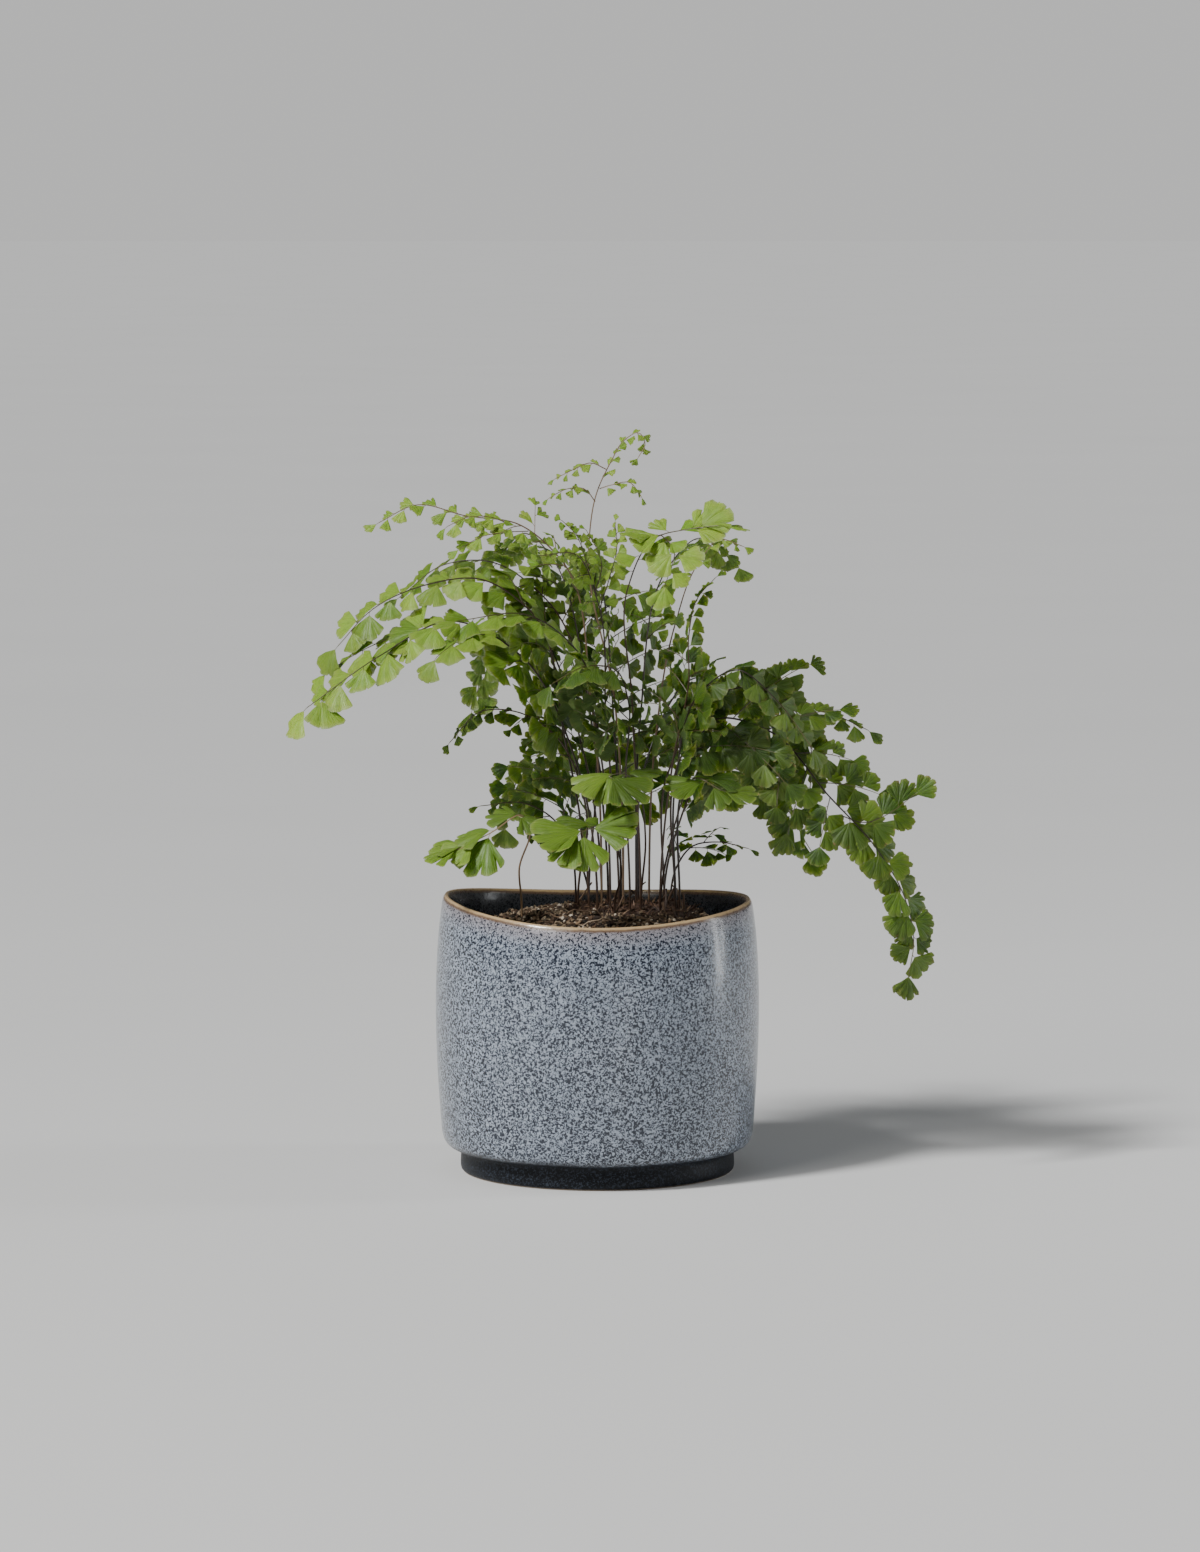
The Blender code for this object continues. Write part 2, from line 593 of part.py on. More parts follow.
def blade_sheet(path, face, leaf, outline, bare):
    """The middle surface of a leafy blade, as points and triangles, and how many of the triangles come
    before the leaflets. A narrow rib follows the path; leaflets stand on it left and right by turns,
    and one more ends it."""
    total = length_of(path)
    lengths = np.concatenate([[0], np.cumsum(np.linalg.norm(np.diff(path, axis=0), axis=1))])
    forward = directions(path)
    normals = carried(forward, face, len(path) // 2)
    points, edges, leaflets = [], {1: [], -1: []}, []

    def frame(distance):
        ahead = unit([np.interp(distance, lengths, forward[:, axis]) for axis in range(3)])
        normal = np.array([np.interp(distance, lengths, normals[:, axis]) for axis in range(3)])
        normal = unit(normal - ahead * (normal @ ahead))
        return along(path, [distance])[0], ahead, np.cross(normal, ahead), normal

    def rib_point(distance, side):
        spot, _, left, _ = frame(distance)
        edges[side].append((distance, len(points)))
        points.append(spot + side * left * RIB_WIDTH / 2)
        return len(points) - 1

    places, last_size = leaf_places(total, leaf, outline, bare)
    rib_point(0.0, 1)
    rib_point(0.0, -1)
    for index, (distance, size) in enumerate(places):
        side = 1 if index % 2 == 0 else -1
        for edge in (1, -1):
            if distance - edges[edge][-1][0] > RIB_STEP:
                rib_point((distance + edges[edge][-1][0]) / 2 - LEAF_BASE, edge)
        slant = LEAF_OPENING + OUTLINES[outline][0]
        base = [rib_point(distance - LEAF_BASE / 2, side), rib_point(distance + LEAF_BASE / 2, side)]
        spot, ahead, left, normal = frame(distance)
        droop = LEAF_DROOP + LEAF_DROOP_CHANGE * math.sin(2.4 * index + 1.0)
        axis = math.cos(slant) * ahead + math.sin(slant) * side * left
        axis = math.cos(droop) * axis - math.sin(droop) * normal
        cross = unit(ahead - axis * (ahead @ axis))
        facing = np.cross(cross, axis) * side
        centre = spot + side * left * RIB_WIDTH / 2
        leaflets.append((base, side, leaflet_outline(outline, size, centre, axis, cross, facing, 1.0)))
    for edge in (1, -1):
        if total - edges[edge][-1][0] > RIB_STEP:
            rib_point((total + edges[edge][-1][0]) / 2, edge)
    base = [rib_point(total, -1), rib_point(total, 1)]
    spot, ahead, left, normal = frame(total)
    outer = leaflet_outline(outline, last_size, spot, ahead, left, normal, END_LEAF_WIDTH)
    leaflets.append((base, -1, outer))

    faces = []
    right, left = edges[-1], edges[1]
    i = j = 0
    while i < len(right) - 1 or j < len(left) - 1:
        if j == len(left) - 1 or (i < len(right) - 1 and right[i + 1][0] <= left[j + 1][0]):
            faces.append((right[i][1], right[i + 1][1], left[j][1]))
            i += 1
        else:
            faces.append((right[i][1], left[j + 1][1], left[j][1]))
            j += 1
    rib_faces = len(faces)
    for base, side, outer in leaflets:
        ids = list(range(len(points), len(points) + len(outer)))
        points.extend(outer)
        middle = len(ids) // 2
        fan = [(base[0], ids[k], ids[k + 1]) for k in range(middle)]
        fan.append((base[0], ids[middle], base[1]))
        fan += [(base[1], ids[k], ids[k + 1]) for k in range(middle, len(ids) - 1)]
        faces += [corners if side < 0 else corners[::-1] for corners in fan]
    return np.array(points), np.array(faces), rib_faces


def thicken(points, faces, thickness):
    """A closed plate about a middle surface: each face twice, split alike, and a wall round the edge."""
    corners = points[faces]
    area = np.cross(corners[:, 1] - corners[:, 0], corners[:, 2] - corners[:, 0])
    normals = np.zeros_like(points)
    for corner in range(3):
        np.add.at(normals, faces[:, corner], area)
    shift = unit(normals) * thickness / 2
    count = len(points)
    solid = [tuple(face) for face in faces] + [tuple(face[::-1] + count) for face in faces]
    used = {(int(a), int(b)) for face in faces for a, b in zip(face, np.roll(face, -1))}
    for a, b in sorted(used):
        if (b, a) not in used:
            solid += [(b, a, a + count), (b, a + count, b + count)]
    return np.vstack([points + shift, points - shift]), solid


def pinna_path(start, forward, face, side, reach, lift):
    """The rib of a side blade: it leaves the stem at a slant in the plane that the frond faces, turned
    out of that plane by lift, and bends down under its weight."""
    normal = unit(face - forward * (forward @ face))
    out = np.cross(normal, forward) * side
    heading = math.cos(PINNA_SLANT) * forward + math.sin(PINNA_SLANT) * out
    heading = math.cos(lift) * heading + math.sin(lift) * normal
    points = [start]
    for index in range(PINNA_STEPS):
        bent = unit(heading + np.array((0, 0, -PINNA_DROOP)) * (index / PINNA_STEPS))
        points.append(points[-1] + bent * reach / PINNA_STEPS)
    return np.array(points)


def crosses_itself(points, faces):
    """Whether two faces of a plate that share no corner cut each other."""
    pairs = tree_of(points, faces).overlap(tree_of(points, faces))
    return any(not set(faces[a]) & set(faces[b]) for a, b in pairs if a < b)


def tree_of(points, faces):
    return BVHTree.FromPolygons(np.asarray(points).tolist(), [list(map(int, face)) for face in faces])


class Space:
    """What is already in place, for each node, so that a new blade is bent clear of it."""

    def __init__(self):
        self.trees = []

    def add(self, owner, points, faces):
        points = np.asarray(points)
        self.trees.append((owner, points.min(axis=0) - 1, points.max(axis=0) + 1, tree_of(points, faces)))

    def free(self, owner, sheet):
        """Whether a blade, a clearance thicker than it is, meets no other node, and its leaflets none
        of its own frond's blades."""
        points, faces, rib_faces = sheet
        if crosses_itself(*thicken(points, faces, BLADE_THICKNESS)):
            return False
        solid_points, solid_faces = thicken(points, faces, BLADE_THICKNESS + 2 * CLEARANCE)
        low, high = solid_points.min(axis=0), solid_points.max(axis=0)
        whole = tree_of(solid_points, solid_faces)
        leaves = tree_of(*thicken(points, faces[rib_faces:], BLADE_THICKNESS))
        for other, other_low, other_high, tree in self.trees:
            if (low > other_high).any() or (high < other_low).any():
                continue
            if other != owner and whole.overlap(tree):
                return False
            if other == owner and leaves.overlap(tree):
                return False
        return True


def turned_face(face, forward, turn):
    """The facing direction turned about the direction of travel."""
    other = np.cross(forward, face)
    return math.cos(turn) * face + math.sin(turn) * other


def end_blade(frond, path, line, space):
    """The leafy end of a frond, turned or made smaller in small steps until it is clear. Its rib starts
    inside the stem, whose straight runs between rings are line."""
    total = length_of(path)
    run = along(path, np.linspace(total - frond["blade"], total, END_BLADE_STEPS))
    run[0] = along(line, [length_of(line) - STEM_LAP])[0]
    face = np.array(frond["face"], float)
    forward = unit(run[-1] - run[0])
    for size in END_BLADE_SIZES:
        for turn in END_BLADE_TURNS:
            looks = turned_face(face, forward, math.radians(turn))
            sheet = blade_sheet(run, looks, frond["leaf"] * size, frond["outline"], END_BLADE_BARE)
            if space.free(frond["name"], sheet):
                return sheet
    raise ValueError(f"no room for the leafy end of {frond['name']}")


def side_blades(frond, path, line, space):
    """The side blades, left and right by turns below the leafy end, longest at the lowest."""
    total = length_of(path)
    top = total - frond["blade"]
    face = np.array(frond["face"], float)
    forward = directions(path)
    lengths = np.linspace(0, total, len(path))
    for index in range(frond["sides"]):
        share = index / max(1, frond["sides"] - 1)
        span = PINNA_SPAN[0] * frond["blade"] + PINNA_SPAN[1]
        span = min(span, PINNA_SPAN_MOST * (top - PINNA_CLEAR_HEIGHT))
        place = top - PINNA_BELOW - (1 - share) * span
        ahead = unit([np.interp(place, lengths, forward[:, axis]) for axis in range(3)])
        start = along(line, [place * length_of(line) / (top + STEM_LAP)])[0]
        side = 1 if index % 2 == 0 else -1
        reach = frond["reach"] * (1 - PINNA_TAPER * share)
        sheet = fit_side_blade(frond, space, start, ahead, face, side, reach)
        if sheet is not None:
            yield sheet


def fit_side_blade(frond, space, start, ahead, face, side, reach):
    """One side blade, turned or made smaller in small steps until it is clear, or None."""
    for size in PINNA_SIZES:
        for turn in PINNA_TURNS:
            run = pinna_path(start, ahead, face, side, reach * size, math.radians(turn))
            leaf = frond["leaf"] * (PINNA_LEAF[0] + PINNA_LEAF[1] * size)
            sheet = blade_sheet(run, face, leaf, frond["outline"], PINNA_BARE)
            if space.free(frond["name"], sheet):
                return sheet
    return None


def build():
    for item in list(bpy.data.objects):
        bpy.data.objects.remove(item)
    glaze = material("slate_glaze", (0.18, 0.21, 0.26), 0.25, coat=0.5)
    mix = material("potting_mix", (0.055, 0.035, 0.022), 0.95)
    bark = material("rhizome_skin", (0.10, 0.045, 0.025), 0.8)
    leaf = material("fern_leaf", (0.16, 0.27, 0.04), 0.5)

    pot = mesh_object("pot", *turned(pot_profile(), POT_SIDES, rim_rise), glaze)
    soil = mesh_object("soil", *soil_solid(), mix)
    rhizome = rhizome_solid("rhizome", bark)

    paths = stem_paths()
    space = Space()
    for item in (pot, soil, rhizome):
        points = np.array([corner.co for corner in item.data.vertices]) / MM
        space.add(item.name, points, [tuple(face.vertices) for face in item.data.polygons])

    stems, lines, holes = [], [], {}
    for frond, path in zip(FRONDS, paths):
        end = length_of(path) - frond["blade"] + STEM_LAP
        straight = STEM_FREE_HEIGHT - path[0, 2]
        rings = max(STEM_LEAST_RINGS, round((end - straight) / STEM_RING_STEP))
        line = along(path, np.concatenate([[0], np.linspace(straight, end, rings + 1)]))
        lines.append(line)
        points, faces = tube(line, STEM_RADIUS_FOOT, STEM_RADIUS_TIP, STEM_SIDES)
        stems.append(mesh_object(frond["name"], points, faces, leaf))
        space.add(frond["name"], points, faces)
        bore = np.array([line[0] - (0, 0, CLEARANCE), line[1] + (0, 0, HOLE_RISE)])
        grown = STEM_RADIUS_FOOT + CLEARANCE / math.cos(math.pi / STEM_SIDES)
        hole = mesh_object(f"hole_{frond['name']}", *tube(bore, grown, grown, STEM_SIDES), mix)
        holes.setdefault("rhizome" if in_rhizome(frond) else "soil", []).append(hole)
    combine(rhizome, holes["rhizome"], "DIFFERENCE")
    recess = rhizome_solid("recess", bark, grow=CLEARANCE, rise=RECESS_RISE)
    combine(soil, [recess, *holes["soil"]], "DIFFERENCE")

    blades = {frond["name"]: [] for frond in FRONDS}
    for frond, path, line in zip(FRONDS, paths, lines):
        sheet = end_blade(frond, path, line, space)
        blades[frond["name"]].append(sheet)
        space.add(frond["name"], *thicken(sheet[0], sheet[1], BLADE_THICKNESS))
    for frond, path, line in zip(FRONDS, paths, lines):
        for sheet in side_blades(frond, path, line, space):
            blades[frond["name"]].append(sheet)
            space.add(frond["name"], *thicken(sheet[0], sheet[1], BLADE_THICKNESS))
    for frond, stem in zip(FRONDS, stems):
        parts = [
            mesh_object(f"blade_{index}", *thicken(sheet[0], sheet[1], BLADE_THICKNESS), leaf)
            for index, sheet in enumerate(blades[frond["name"]])
        ]
        combine(stem, parts, "UNION")

    for item in bpy.data.objects:
        item.data.shade_smooth()
        item.data.set_sharp_from_angle(angle=math.radians(35))


build()
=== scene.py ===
"""A potted maidenhair fern, dressed for its portrait.

The script follows the plant as it is put together: the pot, the potting mix in it, the crown, the stems
that rise from the crown, the leaflets that they carry, and last the studio. Shapes are worked out in
millimetres and become metres when a mesh is made; materials and the studio are in metres.
"""

import math
from collections import namedtuple

import bpy
import numpy as np
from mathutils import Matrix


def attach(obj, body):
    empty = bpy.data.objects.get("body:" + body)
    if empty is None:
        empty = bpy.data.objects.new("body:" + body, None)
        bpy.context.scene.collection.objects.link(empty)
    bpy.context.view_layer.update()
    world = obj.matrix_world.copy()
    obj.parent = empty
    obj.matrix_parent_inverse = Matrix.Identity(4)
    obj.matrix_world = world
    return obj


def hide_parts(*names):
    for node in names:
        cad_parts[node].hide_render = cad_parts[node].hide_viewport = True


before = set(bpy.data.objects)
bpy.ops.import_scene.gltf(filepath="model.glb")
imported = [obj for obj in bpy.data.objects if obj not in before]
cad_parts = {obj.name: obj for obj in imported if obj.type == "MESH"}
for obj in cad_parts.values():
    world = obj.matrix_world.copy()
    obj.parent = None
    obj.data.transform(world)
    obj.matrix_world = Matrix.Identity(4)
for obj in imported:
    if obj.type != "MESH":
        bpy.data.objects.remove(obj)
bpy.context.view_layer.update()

# The pot
# One piece of thrown stoneware about 5 mm thick, with an inset foot. It was dipped in a slate glaze full
# of fine dark specks, which runs thin and tan over the lip. Round the foot and inside the mouth the glaze
# is painted dark, as shade under the bulge and in the mouth; the face that it stands on is bare clay.

MM = 0.001
pot_height = 122.0
pot_sides = 176
rim_sweep = 6.0
rim_sweep_change = 1.0
rim_sweep_depth = 42.0
pot_outline = (  # (radius, height) from the middle of the underside, up the outside and down the inside
    (0.0, 0.0), (30.0, 0.0), (61.4, 0.0), (62.6, 0.25), (63.4, 1.2), (63.6, 3.0), (63.5, 6.5),
    (63.5, 9.6), (64.0, 10.7), (66.2, 11.1), (68.8, 12.0), (70.8, 13.9), (72.0, 17.2), (72.6, 22.0),
    (73.1, 29.0), (74.0, 42.0), (74.7, 58.0), (75.0, 74.0), (74.9, 87.0), (74.4, 98.0), (73.6, 108.0),
    (72.8, 114.0), (72.2, 117.6), (71.7, 119.8), (71.1, 121.2), (70.3, 121.8), (69.4, 121.6),
    (68.7, 120.6), (68.1, 118.2), (67.7, 113.0), (67.7, 106.0), (68.7, 92.0), (69.8, 74.0), (69.2, 52.0),
    (66.8, 24.0), (63.5, 15.0), (57.5, 9.6), (49.0, 8.0), (24.0, 8.0), (0.0, 8.0),
)
outline_spacing = 1.1
curve_steps = 24
slate_deep = (0.275, 0.325, 0.400)
slate_pale = (0.395, 0.448, 0.528)
slate_thin = (0.300, 0.262, 0.268)
speck_navy = (0.006, 0.010, 0.022)
# Painted shade inside the pot's mouth.
inside_painted_shade = (0.012, 0.014, 0.016)
lip_brown = (0.150, 0.095, 0.060)
lip_tan = (0.500, 0.350, 0.185)
# Painted shade: the dark greys of the band round the foot, which the bulge shades; the specks in it are the
# glaze's own.
foot_shade_greys = ((0.010, 0.013, 0.020), (0.040, 0.050, 0.068))
foot_speck = (0.002, 0.003, 0.005)
clay_tans = ((0.30, 0.22, 0.15), (0.48, 0.38, 0.28))
speck_scale = 1020.0
dust_scale = 2100.0
speck_step = (0.512, 0.530)
brown_band = (-0.0024, -0.0012)  # this one and the next are measured up from the rim
tan_band = (-0.0011, -0.0003)
inside_radius = (0.0706, 0.0700)
inside_height = (0.095, 0.100)
# The band round the foot that is painted dark as shade, from where it begins to where it is fully dark.
shaded_foot_band_height = (0.0165, 0.0125)
clay_height = (0.0007, 0.0002)


def length_of(points):
    """The length of a line through the points."""
    return float(np.linalg.norm(np.diff(points, axis=0), axis=1).sum())


def read_off(rows, known, wanted):
    """The rows that stand at the known distances, read off in straight lines at the wanted ones."""
    return np.stack([np.interp(wanted, known, column) for column in rows.T], axis=-1)


def along(points, distances):
    """Points at these distances along a line of points."""
    steps = np.linalg.norm(np.diff(points, axis=0), axis=1)
    return read_off(points, np.concatenate([[0.0], np.cumsum(steps)]), distances)


def curve_through(points, spacing):
    """Points evenly spaced on a smooth curve through the given ones: between two of them it is the cubic
    that leaves and arrives along the average direction of the chords that meet there."""
    points = np.array(points, float)
    chord = np.linalg.norm(np.diff(points, axis=0), axis=1)
    slope = np.diff(points, axis=0) / chord[:, None]
    inner = slope[:-1] * chord[1:, None] + slope[1:] * chord[:-1, None]
    inner /= (chord[1:] + chord[:-1])[:, None]
    tangent = np.vstack([slope[:1], inner, slope[-1:]])
    place = np.linspace(0, len(chord), curve_steps * len(chord) + 1)
    index = np.minimum(place.astype(int), len(chord) - 1)
    t = (place - index)[:, None]
    span = chord[index][:, None]
    curve = (
        (2 * t**3 - 3 * t**2 + 1) * points[index]
        + (t**3 - 2 * t**2 + t) * span * tangent[index]
        + (3 * t**2 - 2 * t**3) * points[index + 1]
        + (t**3 - t**2) * span * tangent[index + 1]
    )
    total = length_of(curve)
    return along(curve, np.linspace(0, total, max(8, round(total / spacing)) + 1))


def grid_faces(rows, columns):
    """Quads between the points of a grid whose last column joins its first."""
    first = np.arange(rows * columns).reshape(rows, columns)
    after = np.roll(first, -1, axis=1)
    return np.stack([first[:-1], after[:-1], after[1:], first[1:]], axis=-1).reshape(-1, 4)


def closed_rings(rings, first_pole, last_pole):
    """A closed body from rings of points (rings, sides, 3), with a fan of triangles from each pole to the
    ring next to it."""
    count, sides = rings.shape[:2]
    ring = np.arange(sides)
    after = np.roll(ring, -1)
    last = (count - 1) * sides
    caps = np.vstack([
        np.column_stack([np.full(sides, count * sides), after, ring]),
        np.column_stack([np.full(sides, count * sides + 1), ring + last, after + last]),
    ])
    return np.vstack([rings.reshape(-1, 3), first_pole, last_pole]), [grid_faces(count, sides), caps]


def lathe(profile, sides, rise):
    """A closed body turned about the upright axis: a point (r, z) of the profile, at the angle a, is at
    (r cos a, r sin a, z + rise(a, z)), and the profile's ends are on the axis."""
    angle = np.arange(sides) * 2 * math.pi / sides
    radius = profile[1:-1, 0, None]
    height = profile[1:-1, 1, None] + rise(angle[None], profile[1:-1, 1, None])
    rings = np.stack([radius * np.cos(angle), radius * np.sin(angle), height], axis=-1)
    return closed_rings(rings, (0, 0, profile[0, 1]), (0, 0, profile[-1, 1]))


def put_object(name, data):
    """A new object in the scene, at the origin, that holds this data."""
    thing = bpy.data.objects.new(name, data)
    bpy.context.scene.collection.objects.link(thing)
    return thing


def make_piece(name, points, polygons, finish, slot_name, replaced=(), sharp_angle=40):
    """An object at the origin from points in millimetres; polygons is a list of arrays of corners, one
    array for each number of corners. It rides on the root body, for these CAD nodes."""
    corners = np.concatenate([part.ravel() for part in polygons])
    counts = np.concatenate([np.full(len(part), part.shape[1]) for part in polygons])
    mesh = bpy.data.meshes.new(name)
    mesh.vertices.add(len(points))
    mesh.vertices.foreach_set("co", (np.asarray(points) * MM).astype(np.float32).ravel())
    mesh.loops.add(len(corners))
    mesh.loops.foreach_set("vertex_index", corners.astype(np.int32))
    mesh.polygons.add(len(counts))
    mesh.polygons.foreach_set("loop_start", (np.cumsum(counts) - counts).astype(np.int32))
    mesh.update(calc_edges=True)
    mesh.validate()
    mesh.materials.append(finish)
    mesh.shade_smooth()
    mesh.set_sharp_from_angle(angle=math.radians(sharp_angle))
    piece = put_object(name, mesh)
    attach(piece, "root")
    if replaced:
        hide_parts(*replaced)
    return piece


def put_node(tree, kind, inputs=None, **settings):
    """A shader node with these settings. An input is given a value, or the socket that feeds it."""
    node = tree.nodes.new(kind)
    for key, value in settings.items():
        setattr(node, key, value)
    for key, value in (inputs or {}).items():
        if isinstance(value, bpy.types.NodeSocket):
            tree.links.new(value, node.inputs[key])
        else:
            node.inputs[key].default_value = value
    return node


def sums(tree, operation, first, second=0.0):
    """The output of a Math node."""
    return put_node(tree, "ShaderNodeMath", {0: first, 1: second}, operation=operation).outputs[0]


def scaled(tree, value, factor, plus=0.0):
    """The value times the factor, plus another value."""
    inputs = {0: value, 1: factor, 2: plus}
    return put_node(tree, "ShaderNodeMath", inputs, operation="MULTIPLY_ADD").outputs[0]


def between(tree, value, low, high, start=0.0, end=1.0):
    """A smooth step from start, where the value is at low, to end, where it is at high. Low may be the
    larger of the two."""
    if low > high:
        low, high, start, end = high, low, end, start
    inputs = {"Value": value, "From Min": low, "From Max": high, "To Min": start, "To Max": end}
    return put_node(tree, "ShaderNodeMapRange", inputs, interpolation_type="SMOOTHSTEP").outputs["Result"]


def blend(tree, factor, first, second):
    """A mix of two colours, each a socket or (red, green, blue)."""
    first, second = (c if isinstance(c, bpy.types.NodeSocket) else (*c, 1.0) for c in (first, second))
    return put_node(tree, "ShaderNodeMix", {0: factor, 6: first, 7: second}, data_type="RGBA").outputs[2]


def noise(tree, place, scale, detail=2.0, distortion=0.0):
    """A noise value from 0 to 1 at this many lumps a metre."""
    inputs = {"Vector": place, "Scale": scale, "Detail": detail, "Distortion": distortion}
    return put_node(tree, "ShaderNodeTexNoise", inputs).outputs["Fac"]


def new_finish(name, roughness):
    """A material with its node tree, its shader and its Object coordinates."""
    finish = bpy.data.materials.new(name)
    finish.use_nodes = True
    tree = finish.node_tree
    shader = tree.nodes["Principled BSDF"]
    shader.inputs["Roughness"].default_value = roughness
    place = put_node(tree, "ShaderNodeTexCoord").outputs["Object"]
    return finish, tree, shader, place


def dress(tree, shader, colour, roughness, relief, depth_mm):
    """Gives the shader its colour and roughness, and its normal by a bump as deep as this."""
    bump = put_node(tree, "ShaderNodeBump", {"Height": relief, "Distance": depth_mm * MM, "Strength": 1.0})
    tree.links.new(colour, shader.inputs["Base Color"])
    tree.links.new(roughness, shader.inputs["Roughness"])
    tree.links.new(bump.outputs["Normal"], shader.inputs["Normal"])


def rim_distance(tree, x, y, z):
    """How far a point is above the plain rim's height, in metres, with the sweep of the rim taken off:
    its (1 + cos 2a) / 2 is the square of x over the radius. Gives the radius too."""
    radius = sums(tree, "SQRT", scaled(tree, x, x, scaled(tree, y, y)))
    cosine = sums(tree, "DIVIDE", x, sums(tree, "MAXIMUM", radius, 0.001))
    sweep = scaled(tree, cosine, -rim_sweep_change * MM, rim_sweep * MM)
    sweep = scaled(tree, sweep, scaled(tree, cosine, cosine))
    return sums(tree, "SUBTRACT", sums(tree, "SUBTRACT", z, pot_height * MM), sweep), radius


def glaze_finish():
    """Slate glaze: dark specks where a fine noise is high, on a paler ground that drifts slowly. It is
    warmer near the rim, brown and tan on the lip, and dull inside and round the foot, where it is painted
    dark as shade."""
    finish, tree, shader, place = new_finish("slate_glaze", 0.3)
    x, y, height = put_node(tree, "ShaderNodeSeparateXYZ", {"Vector": place}).outputs
    above_rim, radius = rim_distance(tree, x, y, height)
    drift = noise(tree, place, 26.0, 3.0)
    thinning = between(tree, above_rim, -0.013, -0.0015)
    uneven = scaled(tree, drift, 0.05, noise(tree, place, speck_scale, 1.0, 1.1))
    uneven = scaled(tree, thinning, -0.07, uneven)
    uneven = scaled(tree, between(tree, height, 0.085, 0.02), 0.012, uneven)
    dust = between(tree, noise(tree, place, dust_scale, 1.0, 0.5), 0.52, 0.62)
    marks = sums(tree, "MAXIMUM", between(tree, uneven, *speck_step), scaled(tree, dust, 0.25))
    ground = blend(tree, drift, slate_deep, slate_pale)
    ground = blend(tree, scaled(tree, thinning, 0.8), ground, slate_thin)
    glazed = blend(tree, scaled(tree, marks, 0.97), ground, speck_navy)
    # Painted shade: inside the mouth the glaze is darkened, as shade, and made duller.
    mouth = between(tree, height, *inside_height)
    within = scaled(tree, between(tree, radius, *inside_radius), mouth)
    glazed = blend(tree, scaled(tree, within, 0.85), glazed, inside_painted_shade)
    edge = scaled(tree, noise(tree, place, 190.0, 3.0), 0.0010, above_rim)
    glazed = blend(tree, between(tree, edge, *brown_band), glazed, lip_brown)
    glazed = blend(tree, between(tree, edge, *tan_band), glazed, lip_tan)
    # Painted shade: the band round the foot is darkened, and it is also made rougher and left without coat.
    shaded_foot_band = between(tree, scaled(tree, drift, 0.003, height), *shaded_foot_band_height)
    streaks = put_node(tree, "ShaderNodeMapping", {"Vector": place, "Scale": (1.0, 1.0, 9.0)})
    foot = blend(tree, noise(tree, streaks.outputs["Vector"], 130.0, 3.0), *foot_shade_greys)
    foot = blend(tree, between(tree, uneven, 0.44, 0.50), foot, foot_speck)
    glazed = blend(tree, shaded_foot_band, glazed, foot)
    bare = between(tree, height, *clay_height)
    clay = blend(tree, noise(tree, place, 700.0, 4.0), *clay_tans)
    gloss = scaled(tree, drift, 0.14, scaled(tree, marks, -0.08, 0.23))
    gloss = sums(tree, "MAXIMUM", gloss, scaled(tree, bare, 0.9))
    gloss = scaled(tree, shaded_foot_band, 0.22, gloss)
    pits = scaled(tree, marks, -0.35, scaled(tree, noise(tree, place, 210.0), 1.2))
    dress(tree, shader, blend(tree, bare, glazed, clay), gloss, pits, 0.12)
    dull = sums(tree, "MAXIMUM", shaded_foot_band, scaled(tree, within, 0.7))
    shine = sums(tree, "SUBTRACT", 1.0, dull)
    tree.links.new(scaled(tree, shine, 0.35), shader.inputs["Coat Weight"])
    tree.links.new(scaled(tree, shine, 0.3, 0.2), shader.inputs["Specular IOR Level"])
    shader.inputs["Coat Roughness"].default_value = 0.12
    return finish


def rim_rise(angle, height):
    """The rim is lowest in front and behind and sweeps up to both sides, by (1 + cos 2a) / 2 at the angle
    a; the sweep dies out down the wall with the square of the height."""
    share = np.clip((height - pot_height) / rim_sweep_depth + 1, 0, 1) ** 2
    return share * (1 + np.cos(2 * angle)) / 2 * (rim_sweep - rim_sweep_change * np.cos(angle))


pot_profile = np.clip(curve_through(pot_outline, outline_spacing), 0, None)
make_piece("glazed_pot", *lathe(pot_profile, pot_sides, rim_rise), glaze_finish(), "glaze", ["pot"])

# The potting mix
# A damp, dark mix of bark and peat that fills the pot to just under its rim, mounded under the crown. Its
# plug holds the root ball. Loose bark chips, pale mineral grains and a few dry roots lie on it.

mix_edge_height = 108.0
mix_mound = 12.5
mix_sink = 2.3
mix_top = (4.0, -6.0)
mix_reach = 66.0
mix_rings = 84
mix_sides = 180
mix_wall = ((49.5, 8.35), (57.6, 11.4), (66.4, 24.0), (69.4, 74.0), (66.9, 105.0))
mix_clods = ((2.2, 6.5, 3), (1.3, 2.6, 5), (0.6, 1.1, 7))  # height, size, seed
mix_browns = ((0.012, 0.007, 0.004), (0.060, 0.036, 0.020))
mix_tan = (0.20, 0.135, 0.080)
mix_damp = (0.030, 0.018, 0.010)
crumb_reach = 64.5
crumb_sides = 6
chip_browns = ((0.022, 0.012, 0.007), (0.105, 0.058, 0.030), (0.30, 0.19, 0.11))
grit_tans = ((0.15, 0.10, 0.060), (0.36, 0.27, 0.175), (0.72, 0.64, 0.52))
crumbs = (  # name, count, length, thickness, how far it is raised, finish, seed
    ("bark_chips", 2100, (1.5, 4.8), (0.8, 2.2), 0.0, ("bark_chip", chip_browns, 0.85), 11),
    ("mineral_grains", 1500, (0.9, 2.5), (0.8, 2.0), 0.7, ("pale_grit", grit_tans, 0.9), 17),
)
dry_root_count = 34
dry_root_rings = 12
dry_root_reach = 63.0
dry_root_browns = ((0.06, 0.035, 0.02), (0.22, 0.14, 0.085), (0.42, 0.32, 0.22))


